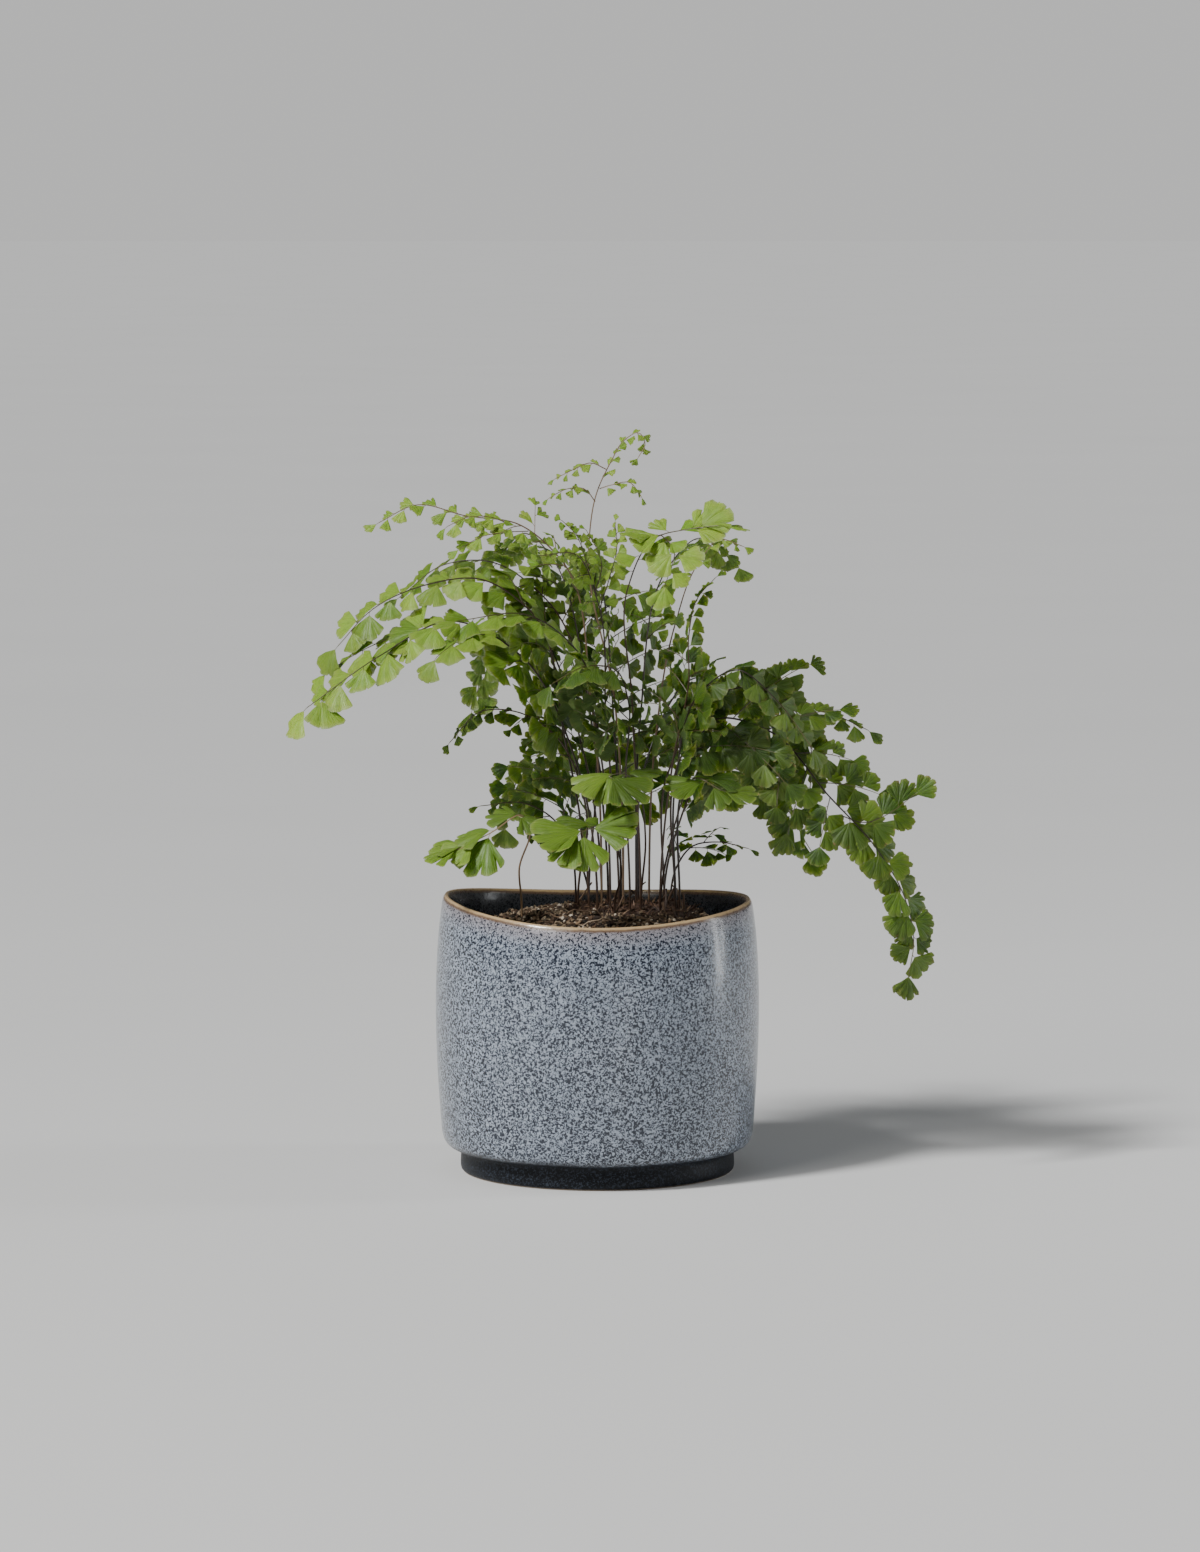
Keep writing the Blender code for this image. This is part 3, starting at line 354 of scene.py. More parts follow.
def lumps(points, layers):
    """Smooth random lumps in space, in layers of (height, size, seed): a random value from 0 to 1 at each
    corner of a cubic lattice of the size, blended between the eight corners round a point."""
    total = 0
    for height, size, seed in layers:
        place = np.asarray(points, float) / size + 4096.0
        cell = np.floor(place).astype(np.int64)
        share = place - cell
        share = share * share * (3 - 2 * share)
        layer = np.zeros(place.shape[:-1])
        for corner in np.ndindex(2, 2, 2):
            key = ((cell + corner) * (73856093, 19349663, 83492791)).sum(axis=-1) + seed * 2654435
            key = (key ^ (key >> 13)) & 0x7FFFFFFF
            key = (key * 1103515245 + 12345) & 0x7FFFFFFF
            key = ((key ^ (key >> 11)) * 1103515245 + 12345) & 0x7FFFFFFF
            weight = np.where(np.array(corner) == 1, share, 1 - share).prod(axis=-1)
            layer += weight * ((key >> 8) & 0xFFFF) / 65535.0
        total = total + height * layer
    return total


def mix_height(flat):
    """The top of the mix at points (x, y): mounded under the crown, falling away to the wall, with slow
    waves and lumps of three sizes."""
    x, y = flat[..., 0], flat[..., 1]
    share = np.hypot(x - mix_top[0], y - mix_top[1]) / mix_reach
    mound = mix_edge_height + mix_mound * np.clip(1 - share**4, 0, 1)
    waves = np.sin(0.37 * x + 0.6) * np.cos(0.41 * y - 1.1) + 0.7 * np.sin(0.83 * x - 0.55 * y)
    clods = lumps(np.stack([x, y, np.zeros_like(x)], axis=-1), mix_clods)
    return mound + 0.8 * waves + clods - mix_sink


def mix_finish():
    """Damp bark mix: three browns chosen by cells and noise, with a rough, crumbly relief."""
    finish, tree, shader, place = new_finish("damp_bark_mix", 0.9)
    cells = put_node(tree, "ShaderNodeTexVoronoi", {"Vector": place, "Scale": 520.0})
    tone = put_node(tree, "ShaderNodeSeparateColor", {"Color": cells.outputs["Color"]}).outputs[0]
    colour = blend(tree, tone, *mix_browns)
    colour = blend(tree, between(tree, tone, 0.86, 0.90), colour, mix_tan)
    colour = blend(tree, between(tree, noise(tree, place, 60.0), 0.35, 0.7), colour, mix_damp)
    rough = scaled(tree, noise(tree, place, 240.0), 0.5, 0.55)
    relief = scaled(tree, cells.outputs["Distance"], -1.0, noise(tree, place, 900.0, 4.0))
    dress(tree, shader, colour, rough, relief, 1.1)
    return finish


def matrices(*rows):
    """Matrices (count, 3, 3) from their three rows, each of three arrays."""
    return np.stack([np.stack(row, axis=-1) for row in rows], axis=1)


def turns(count, rng):
    """Random rotation matrices (count, 3, 3), from random unit quaternions."""
    w, x, y, z = np.moveaxis(rng.normal(size=(count, 4)), 1, 0)
    size = np.sqrt(w * w + x * x + y * y + z * z)
    w, x, y, z = w / size, x / size, y / size, z / size
    return matrices(
        (1 - 2 * (y * y + z * z), 2 * (x * y - w * z), 2 * (x * z + w * y)),
        (2 * (x * y + w * z), 1 - 2 * (x * x + z * z), 2 * (y * z - w * x)),
        (2 * (x * z - w * y), 2 * (y * z + w * x), 1 - 2 * (x * x + y * y)),
    )


def copies(faces, count, size):
    """The faces of one shape of size points, for count such shapes whose points follow one another."""
    return (faces[None] + (np.arange(count) * size)[:, None, None]).reshape(-1, faces.shape[1])


def crumb_shapes(centres, sizes, tumble, rng):
    """Irregular six-sided chips: each is two rings of six points and two poles, every point moved in or
    out at random, stretched to sizes (count, 3), turned by tumble and set at its centre."""
    angle = np.arange(crumb_sides) * 2 * math.pi / crumb_sides
    ring = np.column_stack([np.cos(angle), np.sin(angle), np.ones(crumb_sides)])
    shape, polygons = closed_rings(np.stack([ring * (1, 1, -0.55), ring * (0.9, 0.9, 0.55)]),
                                   (0, 0, -0.7), (0, 0, 0.7))
    count, size = len(centres), len(shape)
    points = shape[None] * rng.uniform(0.68, 1.12, (count, size, 1)) * sizes[:, None]
    points = np.einsum("nij,nmj->nmi", tumble, points) + centres[:, None]
    return points.reshape(-1, 3), [copies(faces, count, size) for faces in polygons]


def scattered(count, inner, outer, rng):
    """Places (x, y) spread evenly over a ring of the pot's mouth."""
    radius = np.sqrt(rng.uniform(inner**2, outer**2, count))
    angle = rng.uniform(0, 2 * math.pi, count)
    return np.stack([radius * np.cos(angle), radius * np.sin(angle)], axis=-1)


def set_tone(piece, name, values, domain="POINT"):
    """Three values for each point or face, for the piece's material to read."""
    layer = piece.data.attributes.new(name, "FLOAT_VECTOR", domain)
    layer.data.foreach_set("vector", np.ascontiguousarray(values, np.float32).ravel())


def set_own_tones(piece, count, rng):
    """One random tone for each of the piece's count like parts, whose points follow one another."""
    tones = np.repeat(rng.uniform(0, 1, count), len(piece.data.vertices) // count)
    set_tone(piece, "tone", np.stack([tones, tones, tones], axis=-1))


def read_tone(tree, name):
    """The three values that set_tone gave, as sockets."""
    layer = put_node(tree, "ShaderNodeAttribute", attribute_name=name)
    return put_node(tree, "ShaderNodeSeparateXYZ", {"Vector": layer.outputs["Vector"]}).outputs


def new_group(name, inputs, outputs):
    """A shader node group with these named sockets, each of this kind. Gives the sockets too."""
    group = bpy.data.node_groups.new(name, "ShaderNodeTree")
    for way, sockets in (("INPUT", inputs), ("OUTPUT", outputs)):
        for label, kind in sockets.items():
            group.interface.new_socket(label, in_out=way, socket_type=f"NodeSocket{kind}")
    return group, group.nodes.new("NodeGroupInput").outputs, group.nodes.new("NodeGroupOutput").inputs


def streaked_tones():
    """A node group: a colour that runs from dark through middle to pale with the tone, and is streaked
    with the dark one by a fine noise, which it gives too."""
    inputs = {"Place": "Vector", "Tone": "Float", "Dark": "Color", "Middle": "Color", "Pale": "Color"}
    group, given, result = new_group("streaked_tones", inputs, {"Colour": "Color", "Streaks": "Float"})
    streaks = noise(group, given["Place"], 1300.0, 3.0)
    colour = blend(group, between(group, given["Tone"], 0.0, 0.6), given["Dark"], given["Middle"])
    colour = blend(group, between(group, given["Tone"], 0.7, 1.0), colour, given["Pale"])
    colour = blend(group, scaled(group, streaks, 0.55), colour, given["Dark"])
    group.links.new(colour, result["Colour"])
    group.links.new(streaks, result["Streaks"])
    return group


def crumb_finish(name, tones, roughness):
    """Dry plant matter or grit: its dark, middle and pale tones, streaked, with the streaks in relief."""
    finish, tree, shader, place = new_finish(name, roughness)
    inputs = {"Place": place, "Tone": read_tone(tree, "tone")[0]}
    inputs.update(zip(("Dark", "Middle", "Pale"), [(*tone, 1.0) for tone in tones]))
    colour, streaks = put_node(tree, "ShaderNodeGroup", inputs, node_tree=crumb_tones).outputs
    dress(tree, shader, colour, scaled(tree, streaks, 0.3, roughness - 0.15), streaks, 0.25)
    return finish


def make_crumbs(name, count, length, thickness, rise, finish, seed):
    """Crumbs of these sizes, lying with about a third of their height in the mix, or raised on others."""
    rng = np.random.default_rng(seed)
    flat = scattered(count, 0.0, crumb_reach, rng)
    long = rng.uniform(*length, count) / 2
    sizes = np.stack([long, long * rng.uniform(0.45, 0.9, count), rng.uniform(*thickness, count) / 2], -1)
    tumble = turns(count, rng)
    lean = rng.uniform(0.15, 0.6, (count, 1, 1))
    tumble, _ = np.linalg.qr(np.eye(3) + lean * (tumble - np.eye(3)))
    spin = rng.uniform(0, 2 * math.pi, count)
    zero, one = np.zeros(count), np.ones(count)
    tumble = tumble @ matrices(
        (np.cos(spin), -np.sin(spin), zero),
        (np.sin(spin), np.cos(spin), zero),
        (zero, zero, one),
    )
    tumble *= np.sign(np.linalg.det(tumble))[:, None, None]
    centres = np.column_stack([flat, mix_height(flat) + sizes[:, 2] * 0.35 + rise])
    points, polygons = crumb_shapes(centres, sizes, tumble, rng)
    piece = make_piece(name, points, polygons, crumb_finish(*finish), "potting_mix", sharp_angle=30)
    set_own_tones(piece, count, rng)


def unit(vectors):
    """The vectors at length 1."""
    vectors = np.asarray(vectors, float)
    return vectors / np.maximum(np.linalg.norm(vectors, axis=-1, keepdims=True), 1e-9)


def tubes(paths, radii, sides):
    """Closed tubes along paths (count, rings, 3): each ring is a circle square to the path, and its
    corners keep their place by the axis that the path follows least."""
    forward = unit(np.gradient(paths, axis=1))
    least = np.abs(forward).max(axis=1).argmin(axis=1)
    across = unit(np.cross(forward, np.eye(3)[least][:, None]))
    other = np.cross(forward, across)
    angle = np.arange(sides) * 2 * math.pi / sides
    circle = across[..., None, :] * np.cos(angle)[:, None] + other[..., None, :] * np.sin(angle)[:, None]
    points = paths[..., None, :] + circle * radii[..., None, None]
    count, rings = paths.shape[:2]
    size = rings * sides
    ends = np.stack([np.arange(sides)[::-1], np.arange(size - sides, size)])
    return points.reshape(-1, 3), [copies(grid_faces(rings, sides), count, size), copies(ends, count, size)]


def joined(parts):
    """Several (points, polygons) as one, with the arrays of each number of corners put together."""
    shift = 0
    groups = {}
    for points, polygons in parts:
        for part in polygons:
            groups.setdefault(part.shape[1], []).append(part + shift)
        shift += len(points)
    return np.vstack([points for points, _ in parts]), [np.vstack(group) for group in groups.values()]


def make_dry_roots():
    """Thin dead roots and stalks that lie across the mix: each follows a slow turn and dips in at its
    ends."""
    rng = np.random.default_rng(31)
    count = (dry_root_count, 1)
    start = scattered(dry_root_count, 8.0, 50.0, rng)
    heading = rng.uniform(0, 2 * math.pi, count)
    share = np.linspace(0, 1, dry_root_rings)[None]
    step = rng.uniform(9, 30, count) / (dry_root_rings - 1)
    turn = heading + rng.uniform(-2.2, 2.2, count) * share
    x = start[:, :1] + np.cumsum(np.cos(turn) * step, axis=1)
    y = start[:, 1:] + np.cumsum(np.sin(turn) * step, axis=1)
    tight = np.minimum(1, dry_root_reach / np.maximum(np.hypot(x, y), 1))
    flat = np.stack([x * tight, y * tight], axis=-1)
    arch = rng.uniform(0.4, 3.6, count) * np.sin(math.pi * share) - 0.5
    paths = np.concatenate([flat, (mix_height(flat) + arch)[..., None]], axis=-1)
    radii = rng.uniform(0.22, 0.5, count) * (1 - 0.4 * share)
    finish = crumb_finish("dry_root", dry_root_browns, 0.75)
    piece = make_piece("dry_roots", *tubes(paths, radii, 6), finish, "potting_mix", sharp_angle=60)
    set_own_tones(piece, dry_root_count, rng)


angle = np.arange(mix_sides) * 2 * math.pi / mix_sides
circle = np.stack([np.cos(angle), np.sin(angle)], axis=-1)
rings = [np.column_stack([circle * radius, np.full(mix_sides, height)]) for radius, height in mix_wall]
for share in 1 - np.arange(mix_rings) / mix_rings:
    flat = circle * mix_wall[-1][0] * share
    rings.append(np.column_stack([flat, mix_height(flat)]))
mix_shape = closed_rings(np.stack(rings), (0, 0, mix_wall[0][1]), (0, 0, float(mix_height(np.zeros(2)))))
make_piece("potting_mix_plug", *mix_shape, mix_finish(), "potting_mix", ["soil"], 60)
crumb_tones = streaked_tones()
for row in crumbs:
    make_crumbs(*row)
make_dry_roots()

# The crown
# The creeping rhizome: knobs of reddish-brown tissue that have grown into one clump, bedded in the mix.
# It is clad in narrow papery scales, and short stubs stand on it where old fronds were cut off.

crown_height = 115.5
crown_knobs = (  # x, y, radius, half height
    (-4, 4, 14.0, 8.5), (9, -10, 13.5, 9.0), (10, 10, 13.5, 9.5),
    (22, -6, 14.0, 10.0), (33, -11, 12.0, 8.5), (33, 8, 13.0, 9.0),
)
knob_rings = 24
knob_sides = 36
crown_voxel = 0.9
crown_lumps = ((1.5, 4.2, 41), (0.8, 1.7, 43))  # height, size, seed
crown_sink = 1.5
crown_browns = ((0.016, 0.008, 0.006), (0.078, 0.036, 0.021))
crown_fibre = (0.150, 0.080, 0.045)
scale_count = 760
scale_browns = ((0.030, 0.013, 0.007), (0.115, 0.055, 0.028), (0.27, 0.16, 0.085))
stub_count = 20
stub_browns = ((0.035, 0.018, 0.011), (0.13, 0.075, 0.042), (0.30, 0.20, 0.12))


def knob_shapes():
    """Each knob is a ball flattened to its radius and half height."""
    tilt = np.linspace(0, math.pi, knob_rings)
    ball = np.column_stack([np.sin(tilt), -np.cos(tilt)])
    points, polygons = lathe(ball, knob_sides, lambda angle, height: 0 * angle)
    return joined([
        (points * (radius, radius, half_height) + (x, y, crown_height), polygons)
        for x, y, radius, half_height in crown_knobs
    ])


def crown_finish():
    """Reddish-brown bark of the crown, dark in its hollows, with fine fibres."""
    finish, tree, shader, place = new_finish("crown_bark", 0.8)
    broad = noise(tree, place, 130.0, 4.0)
    fine = noise(tree, place, 900.0, 4.0, 0.6)
    colour = blend(tree, between(tree, broad, 0.3, 0.7), *crown_browns)
    colour = blend(tree, between(tree, fine, 0.5, 0.75), colour, crown_fibre)
    dress(tree, shader, colour, scaled(tree, fine, 0.35, 0.55), sums(tree, "ADD", broad, fine), 0.8)
    return finish


def make_crown():
    """The knobs fused by a fine remesh, then roughened by lumps along the surface's own normals. Returns
    the points of the surface and their normals."""
    piece = make_piece("crown", *knob_shapes(), crown_finish(), "rhizome_skin", ["rhizome"])
    fuse = piece.modifiers.new("fuse", "REMESH")
    fuse.mode = "VOXEL"
    fuse.voxel_size = crown_voxel * MM
    graph = bpy.context.evaluated_depsgraph_get()
    fused = bpy.data.meshes.new_from_object(piece.evaluated_get(graph))
    piece.modifiers.clear()
    piece.data = fused
    place = np.empty(len(fused.vertices) * 3, np.float32)
    normal = np.empty_like(place)
    fused.vertices.foreach_get("co", place)
    fused.vertex_normals.foreach_get("vector", normal)
    place = place.reshape(-1, 3).astype(float) / MM
    normal = normal.reshape(-1, 3).astype(float)
    place = place + normal * (lumps(place, crown_lumps) - crown_sink)[:, None]
    fused.vertices.foreach_set("co", (place * MM).astype(np.float32).ravel())
    fused.update()
    fused.shade_smooth()
    return place, normal


def square_to(vectors, axis):
    """The vectors made square to these unit axes, at length 1."""
    return unit(vectors - axis * (vectors * axis).sum(axis=-1, keepdims=True))


def make_scales(place, normal):
    """Narrow pointed scales on the crown: each is a thin four-sided kite with a raised spine, lying back
    on the surface with its tip lifted."""
    rng = np.random.default_rng(47)
    outer = np.flatnonzero(place[:, 2] > crown_height + 1.0)
    pick = rng.choice(outer, scale_count, replace=False)
    foot, up = place[pick], normal[pick]
    lie = square_to(rng.normal(size=(scale_count, 3)) + (0, 0, 0.6), up)
    lift = rng.uniform(0.15, 0.75, (scale_count, 1))
    axis = lie * np.cos(lift) + up * np.sin(lift)
    above = up * np.cos(lift) - lie * np.sin(lift)
    side = np.cross(above, axis)
    length = rng.uniform(2.2, 5.6, (scale_count, 1, 1))
    width = rng.uniform(0.25, 0.5, (scale_count, 1, 1))
    kite = np.array([(-0.1, 0, 0), (0.3, 1, 0), (1, 0, 0.05), (0.3, -1, 0), (0.35, 0, 0.5), (0.35, 0, -0.5)])
    points = foot[:, None] + kite[None, :, :1] * length * axis[:, None]
    points = points + kite[None, :, 1:2] * width * side[:, None] + kite[None, :, 2:] * 0.3 * above[:, None]
    top = [(4, 1, 0), (4, 2, 1), (4, 3, 2), (4, 0, 3)]
    under = [(5, 0, 1), (5, 1, 2), (5, 2, 3), (5, 3, 0)]
    faces = [copies(np.array(top + under), scale_count, len(kite))]
    finish = crumb_finish("papery_scale", scale_browns, 0.6)
    piece = make_piece("crown_scales", points.reshape(-1, 3), faces, finish, "rhizome_skin")
    set_own_tones(piece, scale_count, rng)


def make_stubs():
    """Stubs of old stems, a few leaning and broken off at different heights."""
    rng = np.random.default_rng(53)
    knob = np.array(crown_knobs)[rng.integers(0, len(crown_knobs), stub_count)]
    spread = rng.uniform(-0.75, 0.75, (stub_count, 2)) * knob[:, 2:3]
    foot = np.column_stack([knob[:, :2] + spread, np.full(stub_count, crown_height + 1.0)])
    share = np.linspace(0, 1, 7)[None, :, None]
    lean = rng.normal(scale=0.32, size=(stub_count, 1, 3)) * (1, 1, 0) + (0, 0, 1)
    length = rng.uniform(8, 17, (stub_count, 1, 1))
    bend = rng.normal(scale=0.25, size=(stub_count, 1, 3)) * (1, 1, 0)
    paths = foot[:, None] + (lean * share + bend * share**2) * length
    radii = rng.uniform(0.4, 0.72, (stub_count, 1)) * (1 - 0.25 * share[..., 0])
    finish = crumb_finish("old_stub", stub_browns, 0.7)
    piece = make_piece("old_stubs", *tubes(paths, radii, 7), finish, "rhizome_skin", sharp_angle=60)
    set_own_tones(piece, stub_count, rng)


make_scales(*make_crown())
make_stubs()

# The stems
# Each frond rises from the crown on one wiry, dark polished stem, which runs on as the rib of its leafy
# end. Side ribs leave it left and right by turns, and every leaflet hangs on a stalk as fine as a hair.

left_up = (-0.30, -0.65, 1.0)
right_up = (0.30, -0.50, 1.0)
front_up = (0.0, -0.6, 1.0)
viewer = (0.15, -1.0, 0.35)
back_up = (0.0, 0.5, 1.0)
flat_up = (-0.05, -0.22, 1.0)
# One row for each frond: its name, the foot of its stem (x, y) and the run of the stem above the crown;
# then the length of the leafy end, the length of its leaflets and of its longest side rib, the way that
# the upper sides of its leaflets look, how far they droop, their shape, and their age from 0, just
# opened, to 1, old. The age of the fronds on the right and of the dark one low on the left is raised to
# paint them darker, as shade.
Frond = namedtuple("Frond", "name foot way blade leaf reach face bend outline age")
fronds = [Frond(*row) for row in (
    ("left_low_arch", (0, -8),
     ((-10, -5, 191), (-36, -12, 241), (-67, -22, 257), (-99, -32, 242), (-132, -40, 219)),
     104, 17.5, 32, left_up, 0.16, "fan", 0.2),
    ("left_high_arch", (-4, -2),
     ((-15, 5, 200), (-31, 0, 260), (-54, -5, 275), (-77, -8, 273), (-104, -12, 261), (-119, -15, 245)),
     84, 16.0, 34, left_up, 0.14, "fan", 0.22),
    ("left_back_arch", (-4, 8),
     ((-3, 15, 217), (-24, 20, 264), (-50, 25, 281), (-72, 30, 279), (-92, 34, 264)),
     60, 13.5, 30, left_up, 0.14, "fan", 0.6),
    ("left_young", (2, 3),
     ((-3, 8, 218), (-17, 12, 283), (-36, 12, 299), (-61, 14, 303), (-84, 14, 308), (-101, 12, 300)),
     72, 10.5, 24, front_up, 0.1, "slender", 0.05),
    ("top_young", (12, 2),
     ((8, 4, 218), (-4, 6, 290), (0, 6, 315), (6, 5, 328), (13, 4, 339), (19, 3, 342), (22, 2, 337),
      (19, 1, 331)),
     40, 6.5, 0, front_up, 0.2, "slender", 0.05),
    ("upper_right", (20, -8),
     ((16, -8, 219), (14, -18, 272), (27, -31, 296), (41, -38, 300), (55, -42, 302)),
     50, 15.0, 40, viewer, 0.3, "fan", 0.0),
    ("top_middle", (10, -9),
     ((4, -6, 210), (0, -18, 266), (-10, -28, 288), (-26, -38, 288)),
     56, 7.5, 34, front_up, 0.35, "small", 0.0),
    ("middle_left_front", (6, -14),
     ((2, -17, 192), (-10, -32, 245), (-33, -47, 262), (-62, -57, 260)),
     66, 15.5, 36, flat_up, 0.3, "fan", 0.3),
    ("middle_front", (15, -16),
     ((13, -22, 188), (14, -36, 222), (8, -48, 237), (-6, -57, 239), (-20, -62, 232)),
     46, 13.5, 28, flat_up, 0.35, "fan", 0.6),
    ("dark_left", (-9, 3),
     ((-6, 0, 172), (-20, -2, 203), (-38, -6, 214), (-54, -8, 214), (-68, -10, 200)),
     54, 10.5, 30, left_up, 0.35, "small", 0.9),
    ("low_front_middle", (20, -16),
     ((22, -28, 158), (19, -40, 180), (12, -52, 190), (5, -60, 190)),
     36, 20.0, 0, front_up, 0.3, "lobed", 0.5),
    ("low_front", (8, -19.5),
     ((11, -34, 142), (7, -48, 160), (0, -60, 167), (-7, -68, 165)),
     42, 21.0, 0, front_up, 0.3, "lobed", 0.5),
    ("low_right", (29, -14),
     ((34, -22, 157), (40, -32, 178), (45, -42, 187), (56, -48, 182)),
     38, 17.5, 0, front_up, 0.3, "lobed", 0.55),
    ("low_left", (-35, -12),
     ((-36, -17, 142), (-31, -26, 161), (-35, -34, 169), (-48, -41, 162), (-62, -45, 155)),
     40, 18.0, 0, front_up, 0.3, "lobed", 0.5),
    ("low_left_back", (-10, 10),
     ((-13, 8, 150), (-21, 8, 163), (-34, 7, 170), (-54, 5, 169)),
     44, 11.0, 24, left_up, 0.25, "small", 0.7),
    ("right_upright", (29, -5),
     ((35, -8, 192), (42, -12, 229), (42, -14, 250), (46, -14, 267), (54, -12, 276)),
     44, 11.5, 28, flat_up, 0.2, "small", 0.6),
    ("right_thin_tip", (24, 8),
     ((27, 14, 199), (36, 18, 252), (47, 18, 281), (57, 16, 292), (67, 14, 289)),
     24, 8.0, 0, front_up, 0.2, "slender", 0.3),
    ("right_arch", (38, -6),
     ((40, -8, 182), (55, -12, 211), (79, -18, 206), (106, -26, 177),
      (128, -32, 153), (141, -34, 130), (145, -32, 110), (143, -31, 96)),
     130, 15.0, 46, viewer, 0.12, "round", 0.85),
    ("right_middle", (36, 3),
     ((38, 5, 190), (56, 9, 217), (78, 12, 222), (103, 12, 214), (125, 10, 204)),
     66, 11.0, 18, right_up, 0.25, "fan", 0.7),
    ("right_hanging", (31, 1),
     ((33, -1, 186), (58, -3, 223), (82, -4, 223), (97, -6, 203), (98, -8, 172)),
     74, 12.5, 15, viewer, 0.3, "round", 0.85),
    ("right_front", (36, -13),
     ((36, -17, 183), (48, -30, 226), (63, -38, 236), (82, -44, 222), (97, -48, 202)),
     66, 12.5, 24, front_up, 0.3, "fan", 0.75),
    ("right_low", (34, 10),
     ((37, 12, 140), (44, 14, 149), (56, 15, 151), (70, 15, 148)),
     40, 11.0, 30, right_up, 0.25, "small", 0.85),
    ("back_left_arch", (2, 14),
     ((-6, 24, 190), (-30, 50, 248), (-48, 78, 240), (-60, 102, 205)),
     96, 13.5, 30, back_up, 0.35, "fan", 0.5),
    ("back_tall", (11, 12),
     ((8, 22, 200), (2, 46, 268), (-4, 76, 283), (-8, 104, 264)),
     80, 14.0, 36, back_up, 0.35, "fan", 0.5),
    ("back_right_arch", (19, 14),
     ((22, 24, 185), (44, 48, 224), (70, 76, 216), (92, 98, 182)),
     98, 13.0, 24, back_up, 0.35, "round", 0.6),
    ("back_low_left", (-4, 14),
     ((-12, 28, 150), (-24, 50, 184), (-36, 74, 178), (-44, 94, 150)),
     84, 14.0, 32, back_up, 0.35, "fan", 0.65),
    ("back_low_middle", (12, 19),
     ((12, 32, 152), (8, 54, 198), (10, 82, 192), (12, 104, 164)),
     88, 15.0, 42, back_up, 0.35, "fan", 0.65),
    ("back_low_right", (31, 16),
     ((36, 24, 152), (54, 36, 184), (80, 48, 174), (101, 56, 142)),
     84, 15.0, 42, back_up, 0.35, "fan", 0.65),
    ("back_right_high", (18, 5),
     ((20, 14, 210), (32, 36, 276), (48, 56, 290), (66, 74, 276)),
     56, 11.0, 18, back_up, 0.35, "fan", 0.4),
    ("back_left_high", (5, 8),
     ((-4, 18, 215), (-20, 38, 280), (-34, 60, 292), (-50, 82, 278)),
     58, 12.5, 30, back_up, 0.35, "fan", 0.4),
)]
# Side ribs that the photograph shows by themselves.
drawn_ribs = {
    "left_low_arch": (
        ((-76, -25, 254), (-92, -20, 250), (-108, -17, 243), (-124, -15, 233)),
        ((-46, -16, 250), (-56, -26, 251), (-65, -34, 248), (-73, -40, 242)),
    ),
    "top_young": (
        ((4, 5, 325), (-3, 4, 328), (-11, 3, 325), (-19, 2, 321)),
        ((-1, 6, 310), (-6, 5, 316), (-14, 4, 316), (-22, 3, 312)),
        ((1, 6, 316), (7, 4, 318), (15, 3, 319), (20, 2, 313)),
    ),
    "left_young": (
        ((-40, 12, 299), (-50, 6, 303), (-60, 2, 303), (-69, 0, 299)),
        ((-32, 12, 296), (-42, 4, 296), (-54, 0, 294), (-63, -2, 289)),
    ),
    "upper_right": (((29, -32, 297), (35, -38, 291), (34, -42, 284), (31, -43, 276)),),
    "top_middle": (
        ((1, -16, 262), (6, -18, 278), (9, -20, 291), (8, -22, 302)),
        ((0, -18, 268), (-5, -21, 284), (-10, -23, 297), (-16, -24, 303)),
        ((-1, -20, 270), (2, -24, 283), (-1, -28, 292), (-5, -30, 299)),
    ),
    "right_arch": (((112, -28, 168), (122, -29, 165), (133, -30, 169), (144, -29, 177)),),
}
